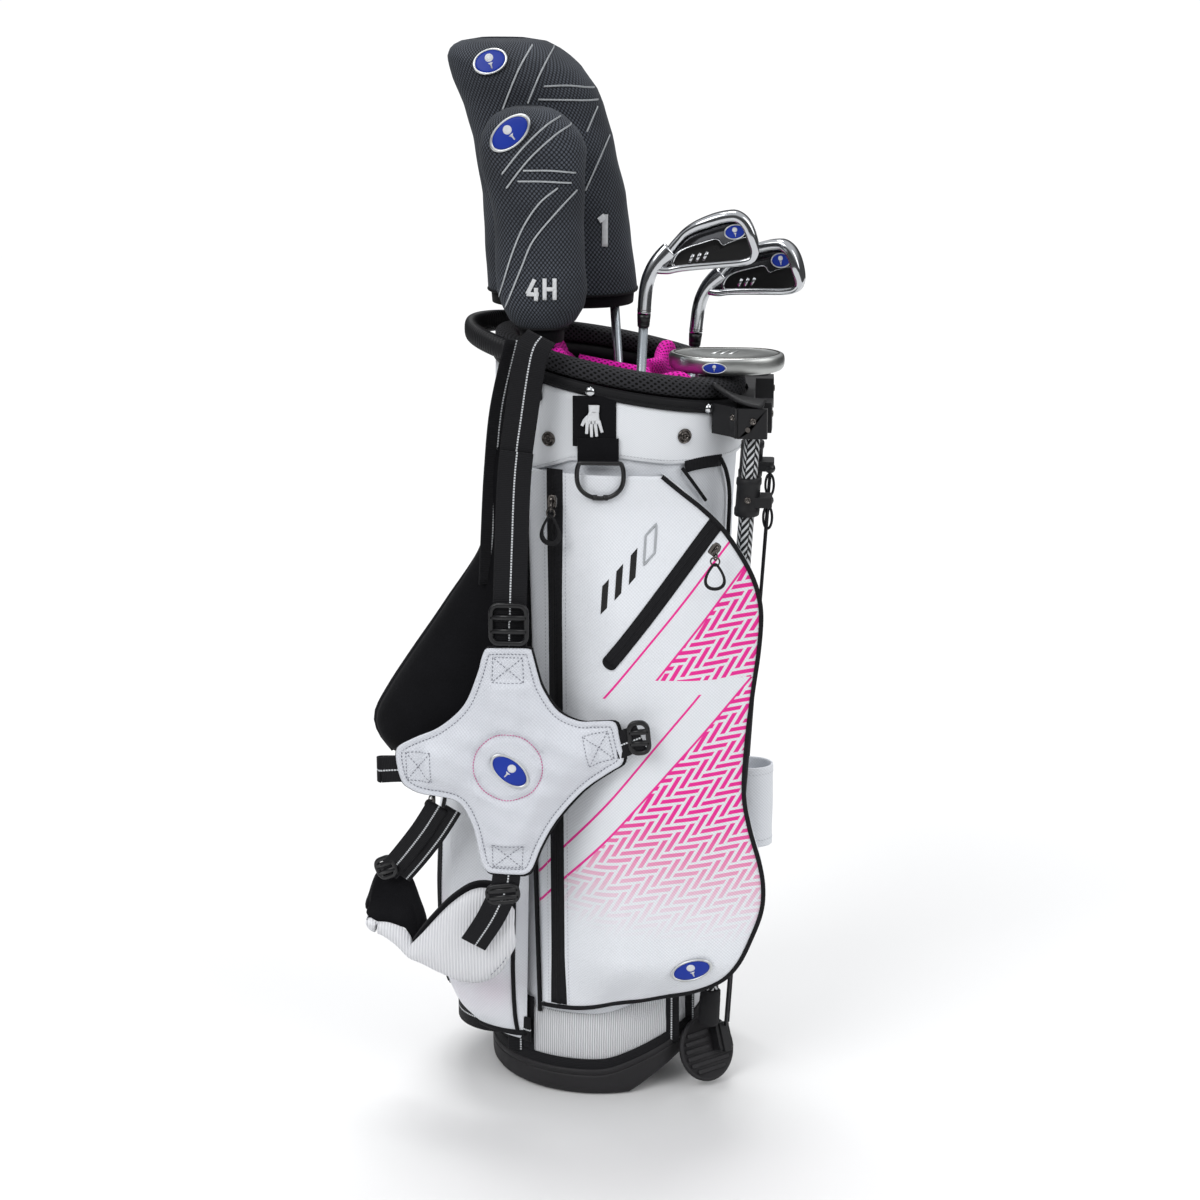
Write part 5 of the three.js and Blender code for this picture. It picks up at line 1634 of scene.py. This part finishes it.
def make_iron(name, butt, neck, yaw, looks_here):
    """A cavity-back iron, sole up: a blade with a thick sole, a hosel, and a recess with a black insert
    that stands for a dark reflection.
    """
    place, length = club_frame(butt, neck)
    make_shaft(name, place, length - 13.4, looks_here)
    z0 = length
    ferrule = [(0.3, z0 - 13.1), (5.0, z0 - 13.1), (5.7, z0 - 12.3), (5.95, z0 - 9), (5.75, z0 - 8.6),
               (6.05, z0 - 8.2), (6.3, z0 - 4), (6.5, z0 - 0.5), (0.3, z0 - 0.4)]
    club_turned(f"{name}_ferrule_ring", name, place, ferrule, looks["gloss"], replaces=[f"{name}_ferrule"])

    def at(u, v, w):
        return place(u, v, z0 + w, yaw)
    outline = spline([(u, w, 0) for u, w in BLADE], 96, closed=True)
    middle = Vector((62, 70, 0))

    def sole(u, w):
        """0 on the topline, 1 on the sole, which points up and to the toe."""
        return ease((u - 62) * 0.32 + (w - 70) * 0.95, -6, 26)

    def ring_of(inset, depth):
        row = []
        for p, n in zip(outline, inward(outline)):
            q = p + n * inset * (1 + 0.5 * sole(p.x, p.y))
            if (q - middle).length > (p - middle).length:
                q = p - n * inset
            row.append(at(q.x, depth(p.x, p.y), q.y))
        return row

    def back(extra):
        return lambda u, w: -(4.2 + 5.4 * sole(u, w)) - extra
    rings = [
        ring_of(9.0, lambda u, w: 6.5), ring_of(3.0, lambda u, w: 6.8), ring_of(1.0, lambda u, w: 6.2),
        ring_of(0.0, lambda u, w: 4.6), ring_of(-0.2, lambda u, w: 0.0),
        ring_of(0.0, lambda u, w: -2.6 - 4.4 * sole(u, w)), ring_of(0.9, back(-0.6)),
        ring_of(2.2, back(0.1)), ring_of(4.6, back(0.2)), ring_of(6.0, back(-0.4)),
        ring_of(7.4, lambda u, w: -0.4), ring_of(8.2, lambda u, w: 0.4)]

    def fill(row, depth):
        """The two rows that close a face, inside its innermost ring."""
        return [[p.lerp(at(62, depth, 70), share) for p in row] for share in (0.5, 0.985)]
    rows = fill(rings[0], 6.5)[::-1] + rings + fill(rings[-1], 0.4)
    surface(f"{name}_blade", name, rows, looks_here["iron"], around=True, caps=True,
            replaces=[f"{name}_head"])
    hosel = spline([at(0, 0, 0.2), at(0.2, 0, 12), at(0.8, 0, 24), at(2.8, 0, 35), at(7, 0, 45),
                    at(13, 0, 53), at(22, 0, 62)], 40)
    forward = (at(0, 1, 0) - at(0, 0, 0)).normalized()

    def taper(t):
        return 1 + 0.35 * ease(t, 0.55, 1.0), 1 - 0.3 * ease(t, 0.45, 1.0)
    sweep(f"{name}_hosel", name, hosel, circle(6.5, 28), looks_here["iron"],
          across=(at(1, 0, 0) - at(0, 0, 0)).normalized(), scale=taper)
    for k, w in enumerate((2.2, 4.0)):
        ring_points = [at(6.55 * math.cos(t), 6.55 * math.sin(t), w) for t in full_turn(28)]
        cord(f"{name}_hosel_line_{k}", name, ring_points, 0.3, looks["nickel"], 6, closed=True)
    # Painted reflection: the back's floor round the cavity uses a darker copy of the chrome, standing for a
    # dark reflection.
    floor_outline = [p + n * 8.4 * (1 + 0.5 * sole(p.x, p.y)) for p, n in zip(outline, inward(outline))]
    slope = [[at(lerp(62, q.x, s), d, lerp(70, q.y, s)) for q in floor_outline]
             for s, d in ((0.99, 0.3), (0.985, -1.6), (0.94, -2.2), (0.6, -1.6), (0.03, -1.5))]
    surface(f"{name}_slope", name, slope, looks_here["slope"], around=True, caps=True)
    cavity = spline([(u, w, 0) for u, w in CAVITY], 90, closed=True)

    def cavity_ring(share, depth):
        return [at(lerp(66, q.x, share), depth, lerp(60, q.y, share)) for q in cavity]
    # Painted reflection: the cavity's floor is black, standing for the dark reflection the chrome shows
    # there.
    insert = [cavity_ring(share, depth)
              for share, depth in ((1.0, -1.2), (1.0, -2.5), (0.97, -2.7), (0.6, -2.7), (0.03, -2.7))]
    surface(f"{name}_insert", name, insert, looks_here["cavity"], around=True, caps=True)
    lip = [cavity_ring(share, depth) for share, depth in
           ((1.0, -1.2), (1.0, -3.2), (1.015, -3.7), (1.05, -3.7), (1.075, -3.0), (1.09, -1.2))]
    surface(f"{name}_lip", name, lip, looks_here["iron"], around=True, along=True)
    for k, (u, w) in enumerate(((42, 55.5), (48.5, 57), (55, 58.5))):
        bar_path = [at(u - 1.8, -3.2, w - 4.2), at(u + 1.8, -3.2, w + 4.2)]
        sweep(f"{name}_mark_{k}", name, bar_path, rounded(2.8, 1.2, 0.5, 2), looks_here["iron"],
              across=forward.cross(bar_path[1] - bar_path[0]))
    right = (at(1, 0, 0.2) - at(0, 0, 0)).normalized()
    badge(f"{name}_badge", name, at(81.5, -3.4, 83), -forward, right, 21, 14.5, 1.0)


def make_wood(name, butt, neck, centre, size, tilt, looks_here):
    """Under its cover a wood has a rounded gloss head with a flat face, and a short hosel. Its sole plate
    is not drawn.
    """
    place, length = club_frame(butt, neck)
    make_shaft(name, place, length, looks_here)
    along = (Vector(neck) - Vector(butt)).normalized()
    centre = Vector(centre)
    turn = Matrix.Rotation(tilt, 3, "Y")
    rows = []
    for i in range(25):
        lat = math.pi * (i / 24 - 0.5) * 0.992
        row = []
        for t in full_turn(48):
            x = size[0] * math.cos(lat) * math.cos(t)
            y = size[1] * math.cos(lat) * signed(math.sin(t), 0.9)
            z = size[2] * math.sin(lat) * (1.0 if lat > 0 else 0.94)
            row.append(centre + turn @ Vector((x, max(y, -size[1] * 0.86), z)))
        rows.append(row)
    surface(f"{name}_head_shell", name, rows, looks_here["wood"], around=True, caps=True,
            replaces=[f"{name}_head"])
    hosel = spline([Vector(neck) + along * 2.5, Vector(neck) + along * 16,
                    (Vector(neck) + along * 38).lerp(centre, 0.25)], 12)
    cord(f"{name}_hosel", name, hosel, 6.4, looks_here["wood"], 24)


def make_putter(butt, neck, looks_here):
    """A mallet putter, sole up: satin head, a milled step round the sole, and a dark insert line."""
    place, length = club_frame(butt, neck)
    make_shaft("putter", place, length, looks_here)
    outline = spline([(x, y, 0) for x, y in ((67, -16), (71, -4), (82, 4), (104, 8.5), (128, 9),
                                             (150, 8.5), (167, 3), (177, -9), (177.5, -20), (170, -33),
                                             (156, -43), (136, -50), (114, -51.5), (94, -45), (78, -33))],
                     96, closed=True)
    middle = Vector((122, -21, 0))
    rows = []
    for scale, z in ((0.02, 721.2), (0.6, 721.2), (0.9, 721.3), (0.95, 722.4), (0.985, 725),
                     (0.998, 728.5), (1.0, 732), (0.992, 735), (0.972, 737.1), (0.94, 738.2),
                     (0.915, 738.0), (0.9, 737.6), (0.6, 738.4), (0.02, 738.6)):
        rows.append([(lerp(middle.x, p.x, scale), lerp(middle.y, p.y, scale), z) for p in outline])
    surface("putter_mallet", "putter", rows, looks_here["putter"], around=True, caps=True,
            replaces=["putter_head"])
    groove = [(lerp(middle.x, p.x, 0.905), lerp(middle.y, p.y, 0.905), 737.9) for p in outline]
    cord("putter_groove", "putter", groove, 0.5, looks["nickel"], 6, closed=True)
    badge("putter_badge", "putter", (112, -52.2, 729.5), (-0.08, -1, 0.12), (1, -0.06, 0), 24, 10.5, 0.7)
    for k, x in enumerate((112, 120, 128)):
        line = [(x - 3, -30, 738.9), (x + 5, -14, 738.9)]
        sweep(f"putter_mark_{k}", "putter", line, rounded(2.4, 0.8, 0.35, 2), looks["badge rim"],
              across=(1, -0.5, 0))


def cover_look(name, dark, light):
    """Grey diamond mesh, painted dark in its sunken lines as shade."""
    look = Look(name, dark, 0.82, **{"Sheen Weight": 0.04, "Specular IOR Level": 0.2})
    cloth = look.cloth()
    net = look.cells(cloth, 2.7, 3.4)
    ridge = look.band(net, 0.28, 0.5)
    place = look.place()
    patch = look.node("MapRange", look.noise(place, 60.0, 2.0), 0.35, 0.65, 0.0, 1.0)
    soft = look.mix(patch, linear(light), linear([c * 1.22 for c in light]))
    # Painted shade: the net's sunken lines take the dark colour, the raised diamonds the light one.
    look.color(look.mix(ridge, soft, look.base))
    look.bump(ridge, -0.5)
    return look


# A cover from its mouth up: height, left, right, middle y and half depth.
DRIVER_LEVELS = ((787, -112, 33, 45, 48), (790, -113, 33.5, 45, 48.5), (820, -114.5, 30, 45, 49),
                 (850, -116, 26, 45, 50), (880, -118, 21.5, 45, 50), (905, -121, 16, 45, 50),
                 (935, -126, 9.5, 45, 50), (965, -134, 1, 45, 50), (980, -140, -5, 45, 49),
                 (990, -144, -12, 45, 47), (1001, -147.5, -20, 45, 43), (1010, -150, -30, 45, 38),
                 (1017, -148, -39, 45, 31), (1022, -143, -48, 45, 24), (1026, -134, -56, 45, 17),
                 (1028, -118, -74, 45, 8))
HYBRID_LEVELS = ((767, -76, -28, -44, 24), (773, -83, -19, -44, 27), (786, -90, -11, -44, 30),
                 (801, -95, -8.5, -44, 32), (832, -96, -10.5, -44, 31.5), (865, -97, -12, -44, 31),
                 (882, -100, -11.8, -44, 31.5), (900, -104, -11, -44, 32), (918, -109, -9.5, -44, 32),
                 (935, -111, -9, -44, 32), (948, -108, -14, -44, 29.5), (958, -103, -22, -44, 26),
                 (966, -96, -31, -44, 20), (972, -84, -42, -44, 12), (974, -74, -52, -44, 5))


# How square a cover's level section is: 1 is an ellipse.
COVER_SQUARE = 0.82


def cover_section(levels, z):
    """A cover's left, right, middle y and half depth at a height."""
    heights = [level[0] for level in levels]
    return [float(np.interp(z, heights, [level[k] for level in levels])) for k in (1, 2, 3, 4)]


def cover_at(levels, z, t, out=0.0):
    """A point on a cover at an angle round it."""
    left, right, y, depth = cover_section(levels, z)
    half = (right - left) / 2
    return Vector(((left + right) / 2 + (half + out) * signed(math.cos(t), COVER_SQUARE),
                   y + (depth + out) * signed(math.sin(t), COVER_SQUARE), z))


def cover_spot(levels, x, z, out=0.0):
    """A point on the near face of a cover."""
    left, right, _, _ = cover_section(levels, z)
    share = min(0.985, max(-0.985, (x - (left + right) / 2) / ((right - left) / 2)))
    t = -math.acos(signed(share, 1 / COVER_SQUARE))
    along = cover_at(levels, z, t + 0.05) - cover_at(levels, z, t - 0.05)
    normal = along.cross(Vector((0, 0, 1))).normalized()
    normal = normal if normal.y < 0 else -normal
    return cover_at(levels, z, t) + normal * out, normal


def make_cover(name, levels, look, hem):
    """A sock of mesh with creases, a rolled hem and a dark lining, open at its mouth."""
    bottom, top = levels[0][0], levels[-1][0]
    turns = full_turn(80)

    def outer(z, t):
        dent = 0.7 * math.sin(z / 17 + 3 * t) * math.sin(2 * t + z / 43) + 0.25 * math.sin(z / 7 + 5 * t)
        fade = ease(z, bottom + 6, bottom + 50) * (1 - ease(z, top - 26, top - 6))
        return cover_at(levels, z, t, dent * fade - 0.6)
    rows = [[cover_at(levels, bottom, t, -3) for t in turns],
            [cover_at(levels, bottom - 0.6, t, -1.6) for t in turns]]
    rows += [[outer(z, t) for t in turns] for z in between(bottom, top, 70)]
    shell = surface(f"{name}_shell", name, rows, look, around=True, replaces=[name])
    thicken(shell, 1.6, -1)
    lining = []
    for z, out in ((bottom - hem, -5.4), (bottom - hem, -3.6), (bottom, -2.6), (bottom + 20, -3.6),
                   (bottom + 60, -4.0)):
        below = Vector((0, 0, min(0, z - bottom)))
        lining.append([cover_at(levels, max(z, bottom), t, out) + below for t in turns])
    thicken(surface(f"{name}_lining", name, lining, looks["plush"], around=True), CLOTH, -1)
    edge = [cover_at(levels, bottom + 0.5, t, -0.2) for t in turns]
    cord(f"{name}_hem", name, edge, 1.2, looks["binding"], 8, closed=True)


def cover_lines(name, levels, lines, look):
    """Thin embroidered lines on a cover's near face, each from its (x, z) points."""
    for k, points in enumerate(lines):
        knots = [(x, 0, z) for x, z in points]
        dense = spline(knots, 40) if len(knots) > 2 else resample(knots, 30)
        path = [cover_spot(levels, p.x, p.z, 0.6)[0] for p in dense]
        normals = [cover_spot(levels, p.x, p.z)[1] for p in dense]
        across = [n.cross((path[min(i + 1, len(path) - 1)] - path[max(i - 1, 0)])).normalized()
                  for i, n in enumerate(normals)]
        sweep(f"{name}_line_{k}", name, path, rounded(1.65, 0.6, 0.25, 2), look, across=across)


# The straight strokes of each figure, in millimetres about its middle.
STROKES = {
    "1": (((-3.4, 7.4), (0.8, 10.5)), ((0.8, 11.6), (0.8, -11))),
    "4": (((1.2, 11), (-6.4, -4.2)), ((-7.0, -4.2), (5.4, -4.2)), ((2.6, 2.5), (2.6, -11))),
    "H": (((-5, 11), (-5, -11)), ((-5, 0), (5, 0)), ((5, 11), (5, -11))),
}


def cover_figure(name, levels, figure, x, z, size, look):
    """A plain block figure, of straight strokes, sewn on a cover."""
    for k, (start, end) in enumerate(STROKES[figure]):
        points = [Vector((x + lerp(start[0], end[0], i / 8) * size,
                          z + lerp(start[1], end[1], i / 8) * size)) for i in range(9)]
        path = [cover_spot(levels, p.x, p.y, 0.7)[0] for p in points]
        sweep(f"{name}_figure_{figure}{k}", name, path, rounded(4.2 * size, 1.0, 0.4, 2), look,
              across=(path[-1] - path[0]).cross(Vector((0, -1, 0))))


def make_clubs():
    """Two irons, a driver and a hybrid in their covers, and a putter."""
    chrome = metal("chromed iron", (192, 194, 197), 0.1)
    clubs_looks = {
        "grip": grip_look(), "shaft": shaft_look(), "iron": chrome,
        # Painted reflection: black for the iron's cavity, where the chrome shows a dark reflection.
        "cavity": plastic("black cavity with painted dark reflection", (12, 12, 13), 0.3, 0.02),
        # Painted reflection: a darker copy of the chrome for the iron's sloped back.
        "slope": metal("chrome painted with dark reflection", (92, 93, 96), 0.14),
        "putter": metal("satin putter metal", (176, 178, 176), 0.32, 0.05),
        "wood": plastic("gloss black head", (22, 22, 25), 0.2, 0.0),
    }
    make_iron("iron_long", (10, -35, 7), (44.6, -40, 779), 0.0, clubs_looks)
    make_iron("iron_short", (32, 22, 13), (91, 32, 747), math.radians(-20), clubs_looks)
    make_wood("driver", (61, 49, 29), (2, 45, 905), (-66, 45, 972), (53, 43, 26), 0.45, clubs_looks)
    make_wood("hybrid", (-62, -25, 7), (-44, -45, 878), (-54, -44, 926), (31, 22, 16), 0.5, clubs_looks)
    make_putter((72, -38, 39), (98, -36, 720.5), clubs_looks)
    silver = looks["silver thread"]
    grey = cover_look("grey cover mesh", (27, 29, 33), (66, 70, 77))
    make_cover("driver_cover", DRIVER_LEVELS, grey, 12)
    make_cover("hybrid_cover", HYBRID_LEVELS, grey, 14)
    cover_lines("driver_cover", DRIVER_LEVELS, [
        [(-66, 1023), (-78, 1000), (-92, 965)], [(-46, 1021), (-57, 998), (-68, 971)],
        [(-53, 987), (-30, 987), (-8, 983)], [(-58, 975), (-30, 974), (-4, 972)],
        [(-4, 966), (-13, 944)], [(7, 938), (0, 921), (-14, 889)]], silver)
    cover_lines("hybrid_cover", HYBRID_LEVELS, [
        [(-33, 966), (-46, 958), (-67, 938), (-86, 914)], [(-22, 959), (-37, 950), (-61, 928), (-82, 901)],
        [(-66, 918), (-40, 918), (-18, 915)], [(-71, 908), (-46, 908), (-22, 906)],
        [(-34, 902), (-51, 888), (-66, 866), (-77, 840), (-86, 812), (-91, 797)],
        [(-17, 899), (-34, 881), (-57, 853), (-68, 828), (-79, 801), (-85, 787)]], silver)
    cover_figure("driver_cover", DRIVER_LEVELS, "1", 3, 850, 1.35, looks["white print"])
    cover_figure("hybrid_cover", HYBRID_LEVELS, "4", -57, 806.5, 0.92, looks["white print"])
    cover_figure("hybrid_cover", HYBRID_LEVELS, "H", -42, 807.5, 0.92, looks["white print"])
    at, out = cover_spot(DRIVER_LEVELS, -104, 1009, 2.0)
    badge("driver_cover_badge", "driver_cover", at, (out.x, out.y, 0.45), (0.94, 0, 0.34), 34, 25)
    at, out = cover_spot(HYBRID_LEVELS, -78, 952, 1.0)
    badge("hybrid_cover_badge", "hybrid_cover", at, (out.x, out.y, 0.15), (0.76, 0, 0.64), 46, 26)


# ---------------------------------------------------------------- studio and camera

def make_studio():
    """A white floor, three soft suns, and a surround that dims low down, for the chrome to show."""
    floor = bpy.data.meshes.new("floor")
    left, right, near, far = -1.9, 1.9, -4.4, 14.0
    floor.from_pydata([(left, near, 0), (right, near, 0), (right, far, 0), (left, far, 0)], [],
                      [(0, 1, 2, 3)])
    stage = bpy.data.objects.new("studio_floor", floor)
    bpy.context.scene.collection.objects.link(stage)
    paint = Look("white floor", (214, 214, 214), 0.9)
    floor.materials.append(paint.material)
    world = bpy.data.worlds.new("studio")
    bpy.context.scene.world = world
    world.use_nodes = True
    nodes, links = world.node_tree.nodes, world.node_tree.links
    height = nodes.new("ShaderNodeSeparateXYZ")
    links.new(nodes.new("ShaderNodeTexCoord").outputs["Generated"], height.inputs[0])
    glow = nodes.new("ShaderNodeMapRange")
    glow.interpolation_type = "SMOOTHSTEP"
    for socket, value in (("From Min", 0.1), ("From Max", 0.6), ("To Min", 0.09), ("To Max", 0.8)):
        glow.inputs[socket].default_value = value
    links.new(height.outputs["Z"], glow.inputs["Value"])
    strength = nodes.new("ShaderNodeMix")
    links.new(nodes.new("ShaderNodeLightPath").outputs["Is Camera Ray"], strength.inputs["Factor"])
    links.new(glow.outputs["Result"], strength.inputs["A"])
    strength.inputs["B"].default_value = 1.05
    background = nodes["Background"]
    background.inputs["Color"].default_value = (0.97, 0.98, 1.0, 1)
    links.new(strength.outputs["Result"], background.inputs["Strength"])
    for name, direction, power, angle in (("key", (-0.55, -0.75, 0.75), 1.3, 34),
                                          ("fill", (0.9, -0.5, 0.5), 0.8, 40),
                                          ("top", (-0.05, 0.4, 1.0), 1.85, 26)):
        lamp = bpy.data.lights.new(name, "SUN")
        lamp.energy = power
        lamp.angle = math.radians(angle)
        light = bpy.data.objects.new(name, lamp)
        light.rotation_euler = Vector(direction).to_track_quat("Z", "Y").to_euler()
        bpy.context.scene.collection.objects.link(light)


def make_camera():
    """From 2.8 m away and 1.3 m up, a little round to the leg side, looking down 16 degrees."""
    turn, distance, height, pitch = math.radians(4), 2.8, 1.3, math.radians(16.25)
    lens = bpy.data.cameras.new("camera")
    lens.sensor_width = 36
    lens.lens = 88.5
    camera = bpy.data.objects.new("camera", lens)
    camera.location = (distance * math.sin(turn), -distance * math.cos(turn), height)
    camera.rotation_euler = (math.pi / 2 - pitch, 0, turn)
    bpy.context.scene.collection.objects.link(camera)
    bpy.context.scene.camera = camera
    bpy.context.scene.view_settings.view_transform = "Standard"


make_camera()
make_studio()
make_boot()
make_shell()
make_base_trim()
make_cuff()
make_rim()
make_divider()
make_handle()
make_studs()
make_glove_tab()
make_d_ring()
make_garment_pocket()
zip_direction = make_pocket_zips()
make_pocket_mark()
badge("pocket_badge", "bag", on_pocket(99, 151, 0.4), pocket_normal(99, 151), (0.95, 0, 0.31), 42, 25)
zip_slider("garment_slider", "garment_slider", "garment_pull", (-37, -107.5, 612), (-0.25, -1, 0),
           (0, 0, 1), (12, 27, 0.9), ("garment_zip_slider", "garment_zip_pull"))
zip_slider("valuables_slider", "valuables_slider", "valuables_pull", (117, -141, 577), (0.1, -1, 0),
           -zip_direction, (12, 24, 0.3), ("valuables_zip_slider", "valuables_zip_pull"))
make_ball_pocket()
zip_slider("ball_slider", "ball_slider", "ball_pull", (-162, -42, 286), (-1, -0.35, 0), (0, 0, 1),
           (12, 24, 0.5), ("ball_zip_slider", "ball_zip_pull"))
make_side_trim()
make_sleeve()
make_bracket()
leg_print = leg_look()
make_leg("near", -1, leg_print)
make_leg("far", 1, leg_print)
make_foot_plate()
make_back_pad()
make_straps()
make_shoulder_pads()
make_clubs()
